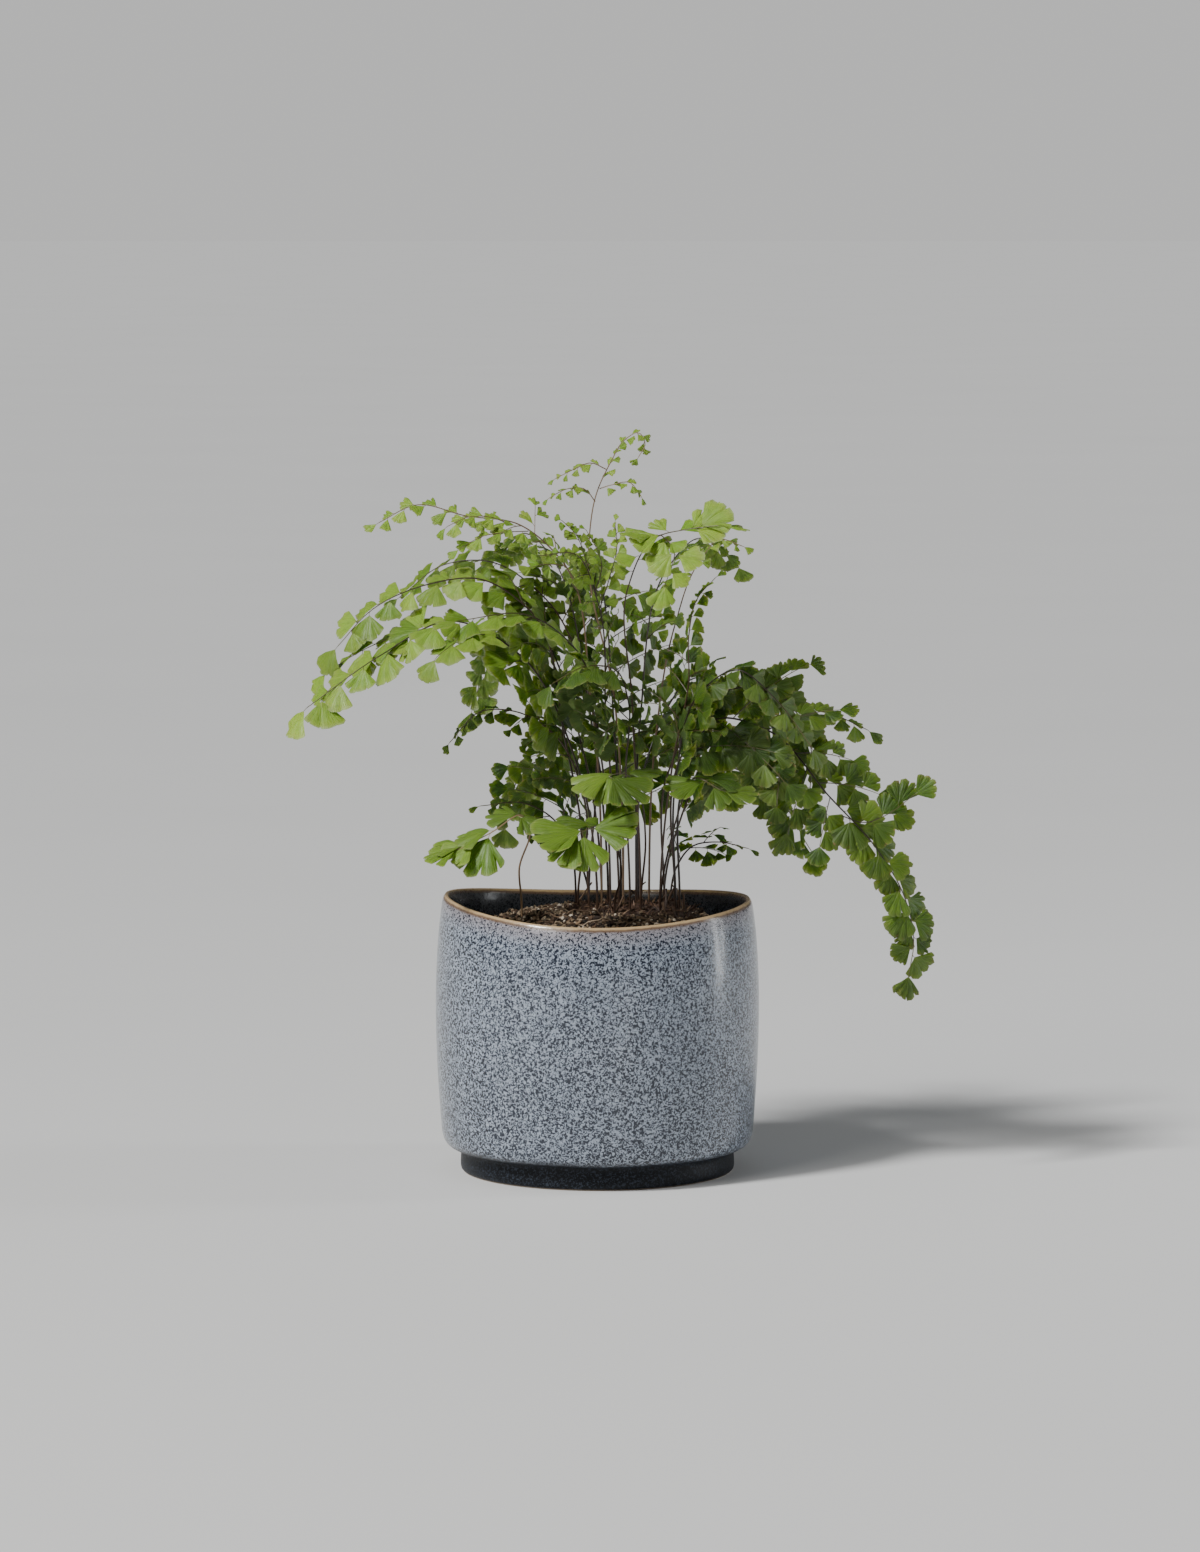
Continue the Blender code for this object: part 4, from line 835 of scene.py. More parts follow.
# The leaflets of the fronds nearest to the viewer, one by one: the rib that each hangs on, 0 for the stem
# and 1 for the first drawn rib, how far along it, the way it points, the way its upper side looks, and
# its length.
posed_leaflets = {
    "upper_right": (
        (0, 0.868, (-1.0, -0.1, 0.15), (0.0, -0.30, 1.0), 17),
        (0, 0.878, (-1.0, -0.35, -0.2), (-0.1, -0.6, 0.9), 16),
        (0, 0.89, (-0.6, 0.5, 0.5), (0.0, -0.6, 0.8), 10),
        (0, 0.91, (0.9, 0.3, 0.3), (0.0, -0.5, 0.9), 11),
        (0, 0.94, (0.75, 0.35, 0.65), (0.1, -0.8, 0.6), 12),
        (0, 0.955, (0.8, 0.1, 0.5), (0.1, -0.8, 0.6), 17.5),
        (0, 0.945, (0.95, -0.4, -0.2), (0.1, -0.6, 0.8), 15),
        (0, 1.0, (1.0, 0.1, -0.1), (0.0, -0.12, 1.0), 14),
        (1, 0.14, (-0.5, -0.5, -0.6), (-0.2, -0.8, 0.5), 10),
        (1, 0.18, (0.7, -0.5, -0.35), (0.2, -0.7, 0.6), 9.5),
        (1, 0.42, (-0.75, -0.35, -0.62), (-0.3, -0.9, 0.45), 14.5),
        (1, 0.48, (0.92, -0.3, -0.2), (0.2, -0.75, 0.6), 13.5),
        (1, 0.80, (0.75, -0.3, -0.55), (0.3, -0.9, 0.4), 10),
        (1, 1.0, (-0.2, -0.3, -0.95), (-0.1, -0.95, 0.3), 12),
        (0, 0.80, (-1.0, -0.3, -0.15), (-0.1, -0.5, 0.9), 12),
        (0, 0.83, (0.9, -0.2, 0.1), (0.1, -0.6, 0.8), 11),
        (0, 0.76, (-0.8, -0.4, 0.2), (-0.1, -0.6, 0.8), 10),
        (0, 0.79, (0.8, 0.3, 0.1), (0.1, -0.5, 0.9), 10),
    ),
    "low_front": (
        (0, 0.90, (-1.0, 0.1, 0.22), (0.1, -0.42, 1.0), 21),
        (0, 0.96, (-1.0, -0.35, -0.12), (-0.1, -0.5, 1.0), 24),
        (0, 1.0, (-0.7, -0.4, -0.66), (-0.5, -0.85, 0.6), 20),
        (0, 0.95, (0.95, -0.2, 0.12), (0.1, -0.85, 0.8), 22),
        (0, 0.99, (0.12, -0.45, -0.85), (0.1, -0.9, 0.5), 20),
        (0, 0.86, (0.85, 0.2, 0.5), (0.0, -0.6, 0.9), 19),
        (0, 0.82, (-0.7, 0.5, 0.1), (0.0, -0.2, 1.0), 18),
    ),
    "low_front_middle": (
        (0, 0.93, (-1.0, -0.2, -0.12), (-0.1, -0.33, 1.0), 22),
        (0, 0.90, (1.0, 0.2, 0.04), (0.1, -0.22, 1.0), 18),
        (0, 1.0, (0.75, -0.5, -0.5), (0.3, -0.75, 0.75), 21),
        (0, 0.97, (-0.45, -0.6, -0.6), (-0.3, -0.8, 0.65), 15),
        (0, 0.85, (-0.9, 0.5, 0.0), (0.0, -0.2, 1.0), 17),
    ),
    "low_right": (
        (0, 0.92, (-1.0, -0.25, -0.10), (-0.1, -0.38, 1.0), 19),
        (0, 0.95, (0.4, -0.5, -0.6), (0.3, -0.8, 0.5), 13),
        (0, 0.90, (1.0, 0.2, 0.0), (0.1, -0.25, 1.0), 19),
        (0, 1.0, (1.0, -0.2, -0.22), (0.1, -0.5, 0.9), 16),
        (0, 0.84, (0.6, 0.6, 0.1), (0.1, -0.1, 1.0), 16),
    ),
    "low_left": (
        (0, 0.86, (-0.42, -0.45, -0.80), (-0.5, -0.85, 0.5), 22),
        (0, 0.93, (-0.75, -0.3, -0.5), (-0.3, -0.7, 0.6), 16),
        (0, 0.84, (-0.95, 0.15, -0.12), (-0.2, -0.33, 1.0), 19),
        (0, 0.97, (-0.95, 0.2, -0.15), (-0.2, -0.3, 1.0), 19),
        (0, 1.0, (-1.0, -0.1, -0.2), (-0.2, -0.4, 0.9), 17),
        (0, 0.70, (-0.8, 0.4, 0.0), (-0.1, -0.35, 1.0), 17),
        (0, 0.72, (0.6, -0.6, -0.3), (0.3, -0.7, 0.7), 14),
    ),
}
# Stems that aren't black: how tan each is, from 0 to 1.
tan_stems = {"low_left": 0.9, "top_young": 0.5, "left_young": 0.35, "right_thin_tip": 0.35}
stem_foot_in_crown = 113.0
stem_foot_in_mix = 98.0
rooted_share = 0.8  # a stem this near a knob's middle, as a share of its radius, stands in the crown
straight_height = 127.0
stem_spacing = 2.0
stem_room = 3.0
push_rounds = 30
push_spread = np.exp(-(np.arange(-6, 7) ** 2) / 12.0)
push_ramp = 10.0
stem_radius = (0.56, 0.42, 0.19)  # at the foot, halfway and at the tip
side_rib_radius = (0.26, 0.15)
stalk_radius = (0.15, 0.11)
stalk_share = 0.10
side_rib_slant = math.radians(56)
side_rib_droop = 0.42
side_rib_steps = 12
side_rib_step = 0.57  # between two of them, in leaflets, and not less than the next in millimetres
side_rib_least = 7.0
side_ribs_below = (0.45, 12.0)  # how far they begin below the leafy end: a share of its length, and more
bare_foot = 40.0  # and at most half of the stem between the leafy end and this far up
side_rib_taper = 1.15
side_rib_scatter = (0.85, 1.12)
side_rib_shortest = 1.25  # in leaflets
side_rib_lift = 0.16
side_rib_looks = 0.14
side_leaf_share = (0.72, 0.92)
drawn_leaf_share = 0.9
leaf_scatter = (0.80, 1.12)
last_leaf_scatter = (0.95, 1.1)
leaf_slant = math.radians(12)
leaf_slant_share = 0.68
hang_scatter = (0.13, 0.14, 0.17)  # of the slant, the droop and the way that the upper side looks
leaf_weight = (0, 0, -0.08)
wire_browns = ((0.014, 0.008, 0.006), (0.055, 0.028, 0.016))
wire_foot = (0.070, 0.038, 0.020)
wire_tip = (0.100, 0.085, 0.026)
wire_tan = (0.330, 0.215, 0.120)
wire_worn = (0.12, 0.08, 0.05)


def stem_paths():
    """The middle line of each stem. Stems that pass too near each other are pushed apart, a little at a
    time, and the push is spread along the stem so that it stays a smooth curve."""
    paths = []
    for frond in fronds:
        x, y = frond.foot
        rooted = any(math.hypot(x - knob[0], y - knob[1]) < rooted_share * knob[2] for knob in crown_knobs)
        foot = stem_foot_in_crown if rooted else stem_foot_in_mix
        paths.append(curve_through([(x, y, foot), (x, y, straight_height), *frond.way], stem_spacing))
    for _ in range(push_rounds):
        push = [np.zeros_like(path) for path in paths]
        moved = False
        for i, first in enumerate(paths):
            for j in range(i + 1, len(paths)):
                gap = first[:, None] - paths[j][None]
                distance = np.linalg.norm(gap, axis=-1)
                a, b = np.unravel_index(distance.argmin(), distance.shape)
                short = stem_room - distance[a, b]
                if short <= 0:
                    continue
                moved = True
                away = gap[a, b] / max(distance[a, b], 1e-6) * (short / 2 + 0.1)
                push[i][a] += away
                push[j][b] -= away
        if not moved:
            break
        for path, shift in zip(paths, push):
            columns = [np.convolve(column, push_spread, mode="same") for column in shift.T]
            path += np.stack(columns, axis=-1) * np.clip((path[:, 2:] - straight_height) / push_ramp, 0, 1)
    return paths


def rib_frame(path, face, share=0.5):
    """The direction of travel along a rib, and the way its upper side looks: face, made square to the rib
    at this share of its length and carried both ways without turning round the rib."""
    forward = unit(np.gradient(path, axis=0))
    middle = round(share * (len(path) - 1))
    normal = np.zeros_like(forward)
    normal[middle] = square_to(face, forward[middle])
    for index in [*range(middle + 1, len(path)), *range(middle - 1, -1, -1)]:
        last = normal[index - 1] if index > middle else normal[index + 1]
        normal[index] = square_to(last, forward[index])
    return forward, normal


def side_rib(start, forward, normal, side, reach, lift):
    """A side rib: it leaves at a slant in the plane of the frond, turned out of it by lift, and bends down
    under its weight, a little more at each step."""
    out = np.cross(normal, forward) * side
    heading = math.cos(side_rib_slant) * forward + math.sin(side_rib_slant) * out
    heading = math.cos(lift) * heading + math.sin(lift) * normal
    share = (np.arange(side_rib_steps) / side_rib_steps)[:, None]
    steps = unit(heading + share * (0, 0, -side_rib_droop)) * reach / side_rib_steps
    return np.vstack([start, start + np.cumsum(steps, axis=0)])


def leaf_rows(path, face, face_share, begin, size, shape, rng):
    """Where leaflets stand on a rib, from a distance along it to its end: left and right by turns and
    smaller towards the end, which carries one more. Gives the foot of each, the ways ahead, left and above
    there, its side, 1 for left, -1 for right or 0 for the last, and its size. Face and face_share are
    rib_frame's."""
    total = length_of(path)
    distances = []
    sizes = []
    distance = begin
    while distance < total - 0.45 * size:
        grown = size * (1 - shape.taper * (distance / total) ** 2) * rng.uniform(*leaf_scatter)
        distances.append(distance)
        sizes.append(grown)
        distance += shape.step * grown
    distances.append(total)
    sizes.append(size * (1 - shape.taper) * rng.uniform(*last_leaf_scatter))
    lengths = np.linspace(0, total, len(path))
    forward, normal = rib_frame(path, face, face_share)
    ahead = unit(read_off(forward, lengths, distances))
    above = square_to(read_off(normal, lengths, distances), ahead)
    side = np.where(np.arange(len(distances)) % 2 == rng.integers(0, 2), 1.0, -1.0)
    side[-1] = 0.0
    left = np.cross(above, ahead)
    foot = along(path, distances)
    return dict(foot=foot, ahead=ahead, left=left, above=above, side=side, size=np.array(sizes))


def posed_rows(lines, leaflets):
    """The leaflets of a frond that has them one by one, from their table; lines are its stem and its drawn
    ribs. They have no side, because left says where each one points."""
    numbers, shares, points_to, looks, sizes = zip(*leaflets)
    feet = []
    ahead = []
    for number, share in zip(numbers, shares):
        line = lines[number]
        feet.append(along(line, [share * length_of(line)])[0])
        ahead.append(unit(np.gradient(line, axis=0))[round(share * (len(line) - 1))])
    rows = dict(foot=feet, ahead=ahead, left=points_to, above=looks, size=sizes)
    return {key: np.array(values, float) for key, values in rows.items()}


def grow(frond, path, rng):
    """The ribs of a frond and the places of its leaflets. Low on the leafy part stand side ribs with rows
    of leaflets; towards the tip they shorten to single leaflets."""
    ribs = []
    for points in drawn_ribs.get(frond.name, ()):
        line = curve_through(points, 1.0)
        ribs.append(along(line, np.linspace(0, length_of(line), side_rib_steps + 1)))
    if frond.name in posed_leaflets:
        return ribs, posed_rows([path, *ribs], posed_leaflets[frond.name])
    face, leaf, shape = unit(frond.face), frond.leaf, leaf_shapes[frond.outline]
    rows = [leaf_rows(rib, face, 0.5, 3.0, drawn_leaf_share * leaf, shape, rng) for rib in ribs]
    total = length_of(path)
    top = total - frond.blade
    span = min(side_ribs_below[0] * frond.blade + side_ribs_below[1], 0.5 * (top - bare_foot))
    face_share = 1 - 0.5 * frond.blade / total
    forward, normal = rib_frame(path, face, face_share)
    lengths = np.linspace(0, total, len(path))
    place = top - 2.0 - (span if frond.reach else 0.0)
    side = 1.0 if rng.random() < 0.5 else -1.0
    while place < total - 6.0:
        share = (place - top + span) / (frond.blade + span)
        reach = frond.reach * (1 - share) ** side_rib_taper * rng.uniform(*side_rib_scatter)
        if reach < side_rib_shortest * leaf:
            break
        near = int(round(np.interp(place, lengths, np.arange(len(path)))))
        start = along(path, [place])[0]
        lift = rng.normal(0.0, side_rib_lift)
        rib = side_rib(start, forward[near], normal[near], side, reach, lift)
        ribs.append(rib)
        size = leaf * rng.uniform(*side_leaf_share)
        looks = unit(normal[near] + rng.normal(0, side_rib_looks, 3))
        rows.append(leaf_rows(rib, looks, 0.5, 3.6, size, shape, rng))
        place += max(side_rib_step * leaf, side_rib_least)
        side = -side
    rows.append(leaf_rows(path, face, face_share, place, leaf, shape, rng))
    return ribs, {key: np.concatenate([row[key] for row in rows]) for key in rows[0]}


def hang(rows, frond, rng):
    """The directions of each leaflet: it leaves the rib at a slant, droops from the rib's plane, and its
    weight turns it on its stalk towards the ground. A posed one already says where it points."""
    if "side" not in rows:
        axis = unit(rows["left"])
        return axis, square_to(rows["above"], axis)
    count = len(rows["size"])
    slant_scatter, droop_scatter, looks_scatter = hang_scatter
    half_angle = math.radians(leaf_shapes[frond.outline].half_angle)
    slant = np.where(rows["side"] == 0, 0.0, leaf_slant + leaf_slant_share * half_angle)
    slant = (slant + rng.normal(0, slant_scatter, count))[:, None]
    axis = np.cos(slant) * rows["ahead"] + np.sin(slant) * rows["side"][:, None] * rows["left"]
    droop = rng.normal(frond.bend, droop_scatter, (count, 1))
    axis = unit(np.cos(droop) * axis - np.sin(droop) * rows["above"] + leaf_weight)
    return axis, square_to(rows["above"] + rng.normal(0, looks_scatter, (count, 3)), axis)


def stem_finish():
    """Polished dark wire: brown at the foot and paler where it is young, with fine lengthwise wear."""
    finish, tree, shader, place = new_finish("wiry_stem", 0.35)
    share, tint, tan = read_tone(tree, "tone")
    wear = noise(tree, place, 420.0, 3.0)
    colour = blend(tree, tint, *wire_browns)
    colour = blend(tree, between(tree, share, 0.10, 0.0), colour, wire_foot)
    colour = blend(tree, between(tree, share, 0.80, 1.0), colour, wire_tip)
    colour = blend(tree, tan, colour, wire_tan)
    colour = blend(tree, scaled(tree, between(tree, wear, 0.55, 0.8), 0.4), colour, wire_worn)
    dress(tree, shader, colour, scaled(tree, wear, 0.3, 0.2), wear, 0.08)
    return finish


def make_stems(frond, path, ribs, rows, axis, finish, rng):
    """One frond's stem, side ribs and leaf stalks as one piece. Each point's tone holds how far up the
    plant it is and the frond's own two tints. Returns where each leaflet begins."""
    share = np.linspace(0, 1, len(path))
    bundles = [(path[None], share, np.interp(share, (0, 0.5, 1), stem_radius), 8)]
    if ribs:
        radii = np.linspace(*side_rib_radius, side_rib_steps + 1)
        bundles.append((np.array(ribs), np.linspace(0.8, 1.0, side_rib_steps + 1), radii, 6))
    foot = rows["foot"]
    tip = foot + axis * (stalk_share * rows["size"] + 0.6)[:, None]
    straight = unit(axis + rows["ahead"] * 0.5)
    bend = foot + straight * (0.5 * stalk_share * rows["size"] + 0.3)[:, None]
    stalks = np.stack([foot, bend, tip + axis * 0.6], axis=1)
    bundles.append((stalks, (0.9, 0.95, 1.0), np.linspace(*stalk_radius, 3), 5))
    tints = (rng.random(), tan_stems.get(frond.name, 0.0))
    parts = []
    tones = []
    for paths, share, radii, sides in bundles:
        parts.append(tubes(paths, np.tile(radii, (len(paths), 1)), sides))
        shares = np.repeat(np.tile(share, len(paths)), sides)
        tones.append(np.column_stack([shares, np.tile(tints, (len(shares), 1))]))
    node = [f"frond_{frond.name}"]
    piece = make_piece(f"stems_{frond.name}", *joined(parts), finish, "leaf", node, 60)
    set_tone(piece, "tone", np.vstack(tones))
    return tip


# The leaflets
# Fans of soft tissue a quarter of a millimetre thick, whose outer edge is cut into lobes and whose veins
# fork again and again from the stalk. Young ones are pale yellow-green, old ones darker, all matt below;
# those in shade are painted darker too.

LeafShape = namedtuple("LeafShape", "half_angle roundness lobes notch crown rings teeth step taper")
leaf_shapes = {
    "slender": LeafShape(38, 0.22, 3, 0.14, 0.050, 2, 3, 0.62, 0.30),
    "small": LeafShape(44, 0.25, 3, 0.10, 0.040, 2, 3, 0.46, 0.50),
    "fan": LeafShape(51, 0.28, 4, 0.11, 0.024, 2, 3, 0.43, 0.18),
    "round": LeafShape(56, 0.42, 5, 0.12, 0.036, 2, 3, 0.37, 0.15),
    "lobed": LeafShape(54, 0.30, 4, 0.40, 0.012, 5, 5, 0.50, 0.0),
}
corner_reach = 0.88
lobe_margin = 0.09
notch_scatter = (0.3, 1.5)
deep_notch = 1.8
deep_notch_chance = 0.2
leaf_half_thickness = 0.13
age_scatter = 0.13
tint_scatter = 0.26
# Painted shade: leaflets this near the middle and this far below the top are darkened through their age
# value.
crown_middle = (14.0, 0.0)
shaded_radius = 85.0
shaded_top = 285.0
shaded_depth = 60.0
shaded_age = 0.9
vein_lines = 5.0
vein_forks = ((0.25, 0.10, 0.40), (0.125, 0.38, 0.68), (0.0625, 0.66, 0.92))  # offset, begin, end
young_greens = ((0.165, 0.315, 0.022), (0.285, 0.420, 0.052))
old_and_shaded_greens = ((0.020, 0.050, 0.004), (0.056, 0.100, 0.008))
deep_green = (0.022, 0.050, 0.004)
vein_greens = ((0.44, 0.56, 0.15), (0.13, 0.19, 0.04))  # of a young leaflet and an old one
under_greens = ((0.18, 0.26, 0.08), (0.07, 0.11, 0.035))
dry_brown = (0.19, 0.105, 0.035)


def lobe_edge(teeth):
    """Where the points of a lobe's edge are, from 0 to 1 across it, and how far out each reaches: a dome
    that falls away at both sides, with every other tooth a little back."""
    place = np.linspace(lobe_margin, 1 - lobe_margin, teeth)
    dome = 1.02 - 0.9 * np.abs(place - 0.5) ** 3
    return np.concatenate([[0.0], place]), np.concatenate([[1.0], dome - 0.02 * (np.arange(teeth) % 2)])


def fan_grid(lobes, rings, teeth):
    """The points and faces that every leaflet of a shape has: (across -1 to 1, out 0 to 1, above or
    below) for each point, with the rim, the two straight sides and the stalk's end shared by both faces,
    and for each face whether it is underneath."""
    across = (np.arange(lobes)[:, None] + lobe_edge(teeth)[0]).ravel()
    across = np.concatenate([across, [lobes]]) / lobes * 2 - 1
    count = len(across)
    out = np.linspace(0, 1, rings + 1)[1:]
    top = 1 + np.arange(rings * count).reshape(rings, count)
    inner = np.zeros_like(top, bool)
    inner[:-1, 1:-1] = True
    below = top.copy()
    below[inner] = 1 + rings * count + np.arange(inner.sum())
    place = np.stack([np.tile(across, rings), np.repeat(out, count), inner.ravel().astype(float)], axis=-1)
    place = np.vstack([[(0, 0, 0)], place, place[inner.ravel()] * (1, 1, -1)])

    def quads(grid):
        return np.stack([grid[:-1, 1:], grid[1:, 1:], grid[1:, :-1], grid[:-1, :-1]], -1).reshape(-1, 4)

    def fan(grid):
        return np.stack([grid[0, 1:], grid[0, :-1], np.zeros(count - 1, int)], axis=-1)

    faces = [np.vstack([shape(top), shape(below)[:, ::-1]]) for shape in (quads, fan)]
    return place, faces, [np.repeat((0.0, 1.0), len(part) // 2) for part in faces]


def fans(base, axis, above, size, shape, rng):
    """Leaflets: at a across and r out, a point lies r times the reach from the base, turned a half angles
    from the axis; it is lifted by a droop of the rim, a wave across and the crown of each lobe. The reach
    is 1 for a wedge and the cosine of the turn for a disc, less the notches between lobes. Gives, besides
    the points and faces, a and r for each point, and for each face whether it is underneath and the number
    of its leaflet."""
    lobes, count = shape.lobes, len(size)
    place, faces, beneath = fan_grid(lobes, shape.rings, shape.teeth)
    a, r, side = place.T
    within = (a + 1) / 2 * lobes
    number = np.minimum(within.astype(int), lobes - 1)
    share = within - number
    notches = np.abs(within - np.round(within)) < 1e-6
    nearest = np.clip(np.round(within).astype(int), 0, lobes)
    depth = shape.notch * rng.uniform(*notch_scatter, (count, lobes + 1))
    depth *= np.where(rng.random((count, lobes + 1)) < deep_notch_chance, deep_notch, 1.0)
    depth[:, 0] = depth[:, -1] = 1 - corner_reach
    edge = np.interp(share, *[np.append(values, 1.0) for values in lobe_edge(shape.teeth)])
    lobe_size = rng.uniform(0.93, 1.06, (count, lobes))[:, number]
    edge = edge * lobe_size * rng.uniform(0.975, 1.02, (count, len(a)))
    reach = 1 + (np.where(notches, 1 - depth[:, nearest], edge) - 1) * r**2
    border = np.cumsum(np.hstack([np.zeros((count, 1)), rng.uniform(0.6, 1.4, (count, lobes))]), axis=1)
    border = 2 * border / border[:, -1:] - 1
    spread = border[:, number] * (1 - share) + border[:, number + 1] * share
    turn = spread * math.radians(shape.half_angle) * rng.uniform(0.86, 1.08, (count, 1))
    reach = reach * (1 - shape.roundness + shape.roundness * np.cos(turn))
    reach = reach * (1 + rng.uniform(-0.16, 0.16, (count, 1)) * spread)
    far = (size[:, None] * (1 - stalk_share) * reach * r)[..., None]
    droop = rng.normal(0.10, 0.07, (count, 1)) * r**2
    phase = rng.uniform(0, 2 * math.pi, (count, 1))
    wave = 0.05 * r**1.5 * np.sin(2.6 * a + phase) + 0.035 * r**2 * np.sin(5.5 * a + 2 * phase)
    crown = shape.crown * r * np.cos(2 * math.pi * within + math.pi)
    lift = size[:, None] * (wave + crown - droop) + leaf_half_thickness * side
    cross = np.cross(above, axis)
    points = base[:, None] + far * np.cos(turn)[..., None] * axis[:, None]
    points = points + far * np.sin(turn)[..., None] * cross[:, None] + lift[..., None] * above[:, None]
    polygons = [copies(part, count, len(a)) for part in faces]
    spots = np.tile(np.stack([(a + 1) / 2, r, np.zeros_like(a)], axis=-1), (count, 1))
    under = np.concatenate([np.tile(part, count) for part in beneath])
    owner = np.concatenate([np.repeat(np.arange(count), len(part)) for part in faces])
    return points.reshape(-1, 3), polygons, spots, under, owner


def forked_veins():
    """A node group: veins that fork three times on their way out. The distance to the nearest of a few
    lines is folded about a growing offset at each fork, which splits every line in two."""
    group, given, result = new_group("forked_veins", {"Across": "Float", "Out": "Float"}, {"Vein": "Float"})
    line = sums(group, "FRACT", scaled(group, given["Across"], vein_lines))
    line = sums(group, "ABSOLUTE", sums(group, "SUBTRACT", line, 0.5))
    for offset, begin, end in vein_forks:
        fork = between(group, given["Out"], begin, end, 0.0, offset)
        line = sums(group, "ABSOLUTE", sums(group, "SUBTRACT", line, fork))
    wide = scaled(group, line, sums(group, "MAXIMUM", given["Out"], 0.12))
    group.links.new(between(group, wide, 0.024, 0.004), result["Vein"])
    return group


def leaf_finish():
    """Leaf tissue: green by age, by painted shade and by the leaflet's own tint, paler to the rim and along
    the veins, and greyer and rougher underneath."""
    finish, tree, shader, place = new_finish("fern_leaf", 0.45)
    across, out, _ = read_tone(tree, "spot")
    tint, age, under = read_tone(tree, "leaf_tone")
    inputs = {"Across": across, "Out": out}
    vein = put_node(tree, "ShaderNodeGroup", inputs, node_tree=forked_veins()).outputs["Vein"]
    # The age value also carries painted shade, so shaded leaflets take the dark greens of old ones.
    colour = blend(tree, age, blend(tree, tint, *young_greens), blend(tree, tint, *old_and_shaded_greens))
    mottle = noise(tree, place, 330.0, 3.0)
    deeper = blend(tree, 0.55, colour, deep_green)
    colour = blend(tree, scaled(tree, between(tree, mottle, 0.45, 0.75), 0.45), colour, deeper)
    colour = blend(tree, between(tree, out, 0.45, 0.0, 0.0, 0.45), colour, deeper)
    paler = blend(tree, 0.5, colour, blend(tree, age, *vein_greens))
    colour = blend(tree, scaled(tree, vein, 0.42), colour, paler)
    colour = blend(tree, between(tree, out, 0.90, 1.0, 0.0, 0.55), colour, paler)
    dry = scaled(tree, between(tree, out, 0.86, 0.97), between(tree, mottle, 0.60, 0.70))
    colour = blend(tree, scaled(tree, dry, age), colour, dry_brown)
    matt = blend(tree, 0.4, colour, blend(tree, age, *under_greens))
    rough = scaled(tree, under, 0.22, scaled(tree, mottle, 0.2, 0.36))
    relief = scaled(tree, vein, -0.8, scaled(tree, mottle, 0.6))
    dress(tree, shader, blend(tree, under, colour, matt), rough, relief, 0.12)
    shader.inputs["Specular IOR Level"].default_value = 0.32
    shader.inputs["Subsurface Weight"].default_value = 0.35
    shader.inputs["Subsurface Radius"].default_value = (0.7, 1.0, 0.25)
    shader.inputs["Subsurface Scale"].default_value = 0.0012
    return finish


def make_leaflets(frond, base, rows, axis, above, finish, rng):
    """All the leaflets of one frond as one piece. Those low down in the middle of the plant are painted
    darker, as shade, through their age value.
    """
    sizes, shape = rows["size"], leaf_shapes[frond.outline]
    points, polygons, spots, under, owner = fans(base, axis, above, sizes, shape, rng)
    node = [f"frond_{frond.name}"]
    piece = make_piece(f"leaflets_{frond.name}", points, polygons, finish, "leaf", node, 75)
    set_tone(piece, "spot", spots)
    tints = np.clip(rng.normal(0.5, tint_scatter, len(sizes)), 0, 1)
    # Painted shade: leaflets low in the middle of the plant are darkened by adding to their age value.
    out = np.hypot(base[:, 0] - crown_middle[0], base[:, 1] - crown_middle[1]) / shaded_radius
    painted_shade = np.clip(1 - out, 0, 1) * np.clip((shaded_top - base[:, 2]) / shaded_depth, 0, 1)
    ages_and_shade = np.clip(rng.normal(frond.age, age_scatter, len(sizes)) + shaded_age * painted_shade, 0, 1)
    set_tone(piece, "leaf_tone", np.stack([tints[owner], ages_and_shade[owner], under], axis=-1), "FACE")


wire = stem_finish()
tissue = leaf_finish()
for number, (frond, path) in enumerate(zip(fronds, stem_paths())):
    rng = np.random.default_rng(200 + number)
    ribs, rows = grow(frond, path, rng)
    axis, above = hang(rows, frond, rng)
    base = make_stems(frond, path, ribs, rows, axis, wire, rng)
    make_leaflets(frond, base, rows, axis, above, tissue, rng)

# The studio
# A pale floor under an even grey light, with a soft sun and a large soft lamp high on the left, a narrow
# lamp on the right that draws the line of light down the pot's edge, and the camera that sees it all.

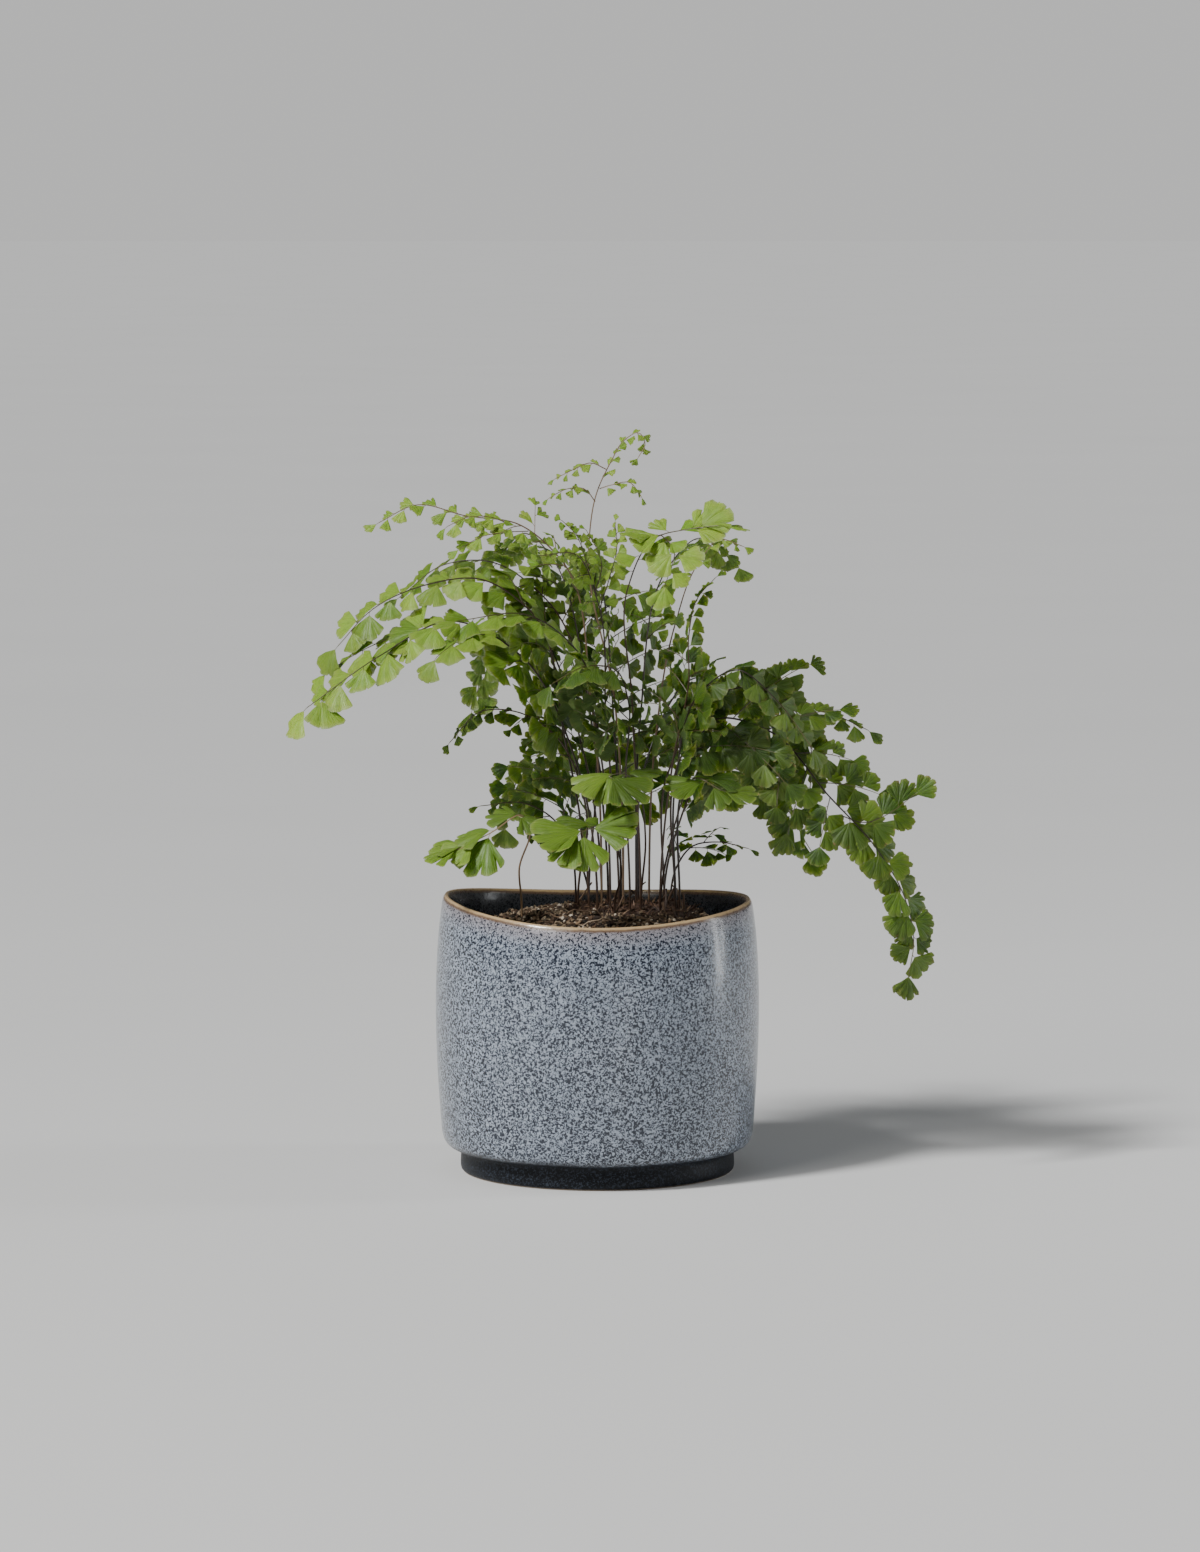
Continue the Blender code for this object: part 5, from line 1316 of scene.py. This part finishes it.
floor_size = 60.0
floor_greys = ((0.74, 0.74, 0.73), (0.78, 0.78, 0.77))
lamps = (  # name, place, what it faces, width, height, watts, colour
    ("key_lamp", (-1.25, -1.55, 1.15), (0, 0, 0.17), 0.8, 0.8, 16.0, (1.0, 0.975, 0.94)),
    ("edge_lamp", (1.35, 0.15, 0.35), (0, 0, 0.10), 0.25, 0.9, 7.0, (0.95, 0.98, 1.0)),
)
sun_turn = (42.0, 0.0, -52.0)
sun_strength = 3.3
sun_angle = 9.0
ambient = (0.86, 0.88, 0.92)
ambient_strength = 0.12
backdrop = (0.60, 0.60, 0.595)
camera_place = (0.0012, -2.74, 0.469)
camera_dip = 5.95
camera_lens = 138.2
sensor_height = 36.0


def floor_finish():
    """Pale matt paint with the faintest unevenness."""
    finish, tree, shader, place = new_finish("pale_floor", 0.75)
    tree.links.new(blend(tree, noise(tree, place, 3.0, 3.0), *floor_greys), shader.inputs["Base Color"])
    return finish


edge = floor_size / 2
floor_mesh = bpy.data.meshes.new("floor")
floor_corners = [(-edge, -edge, 0), (edge, -edge, 0), (edge, edge, 0), (-edge, edge, 0)]
floor_mesh.from_pydata(floor_corners, [], [(0, 1, 2, 3)])
floor_mesh.materials.append(floor_finish())
put_object("floor", floor_mesh)

for name, place, target, width, height, watts, colour in lamps:
    data = bpy.data.lights.new(name, "AREA")
    data.shape = "RECTANGLE"
    data.size = width
    data.size_y = height
    data.energy = watts
    data.color = colour
    lamp = put_object(name, data)
    x, y, z = np.subtract(target, place)
    lamp.location = place
    lamp.rotation_euler = (math.atan2(math.hypot(x, y), -z), 0, math.atan2(y, x) - math.pi / 2)

sun = bpy.data.lights.new("soft_sun", "SUN")
sun.energy = sun_strength
sun.angle = math.radians(sun_angle)
put_object("soft_sun", sun).rotation_euler = [math.radians(turn) for turn in sun_turn]

world = bpy.data.worlds.new("studio")
world.use_nodes = True
tree = world.node_tree
light = tree.nodes["Background"]
light.inputs["Color"].default_value = (*ambient, 1.0)
light.inputs["Strength"].default_value = ambient_strength
seen = put_node(tree, "ShaderNodeBackground", {"Color": (*backdrop, 1.0)})
rays = put_node(tree, "ShaderNodeLightPath")
inputs = {0: rays.outputs["Is Camera Ray"], 1: light.outputs[0], 2: seen.outputs[0]}
both = put_node(tree, "ShaderNodeMixShader", inputs)
tree.links.new(both.outputs[0], tree.nodes["World Output"].inputs["Surface"])
bpy.context.scene.world = world

lens = bpy.data.cameras.new("photo_camera")
lens.lens = camera_lens
lens.sensor_fit = "VERTICAL"
lens.sensor_height = sensor_height
camera = put_object("photo_camera", lens)
camera.location = camera_place
camera.rotation_euler = (math.radians(90 - camera_dip), 0, 0)
bpy.context.scene.camera = camera
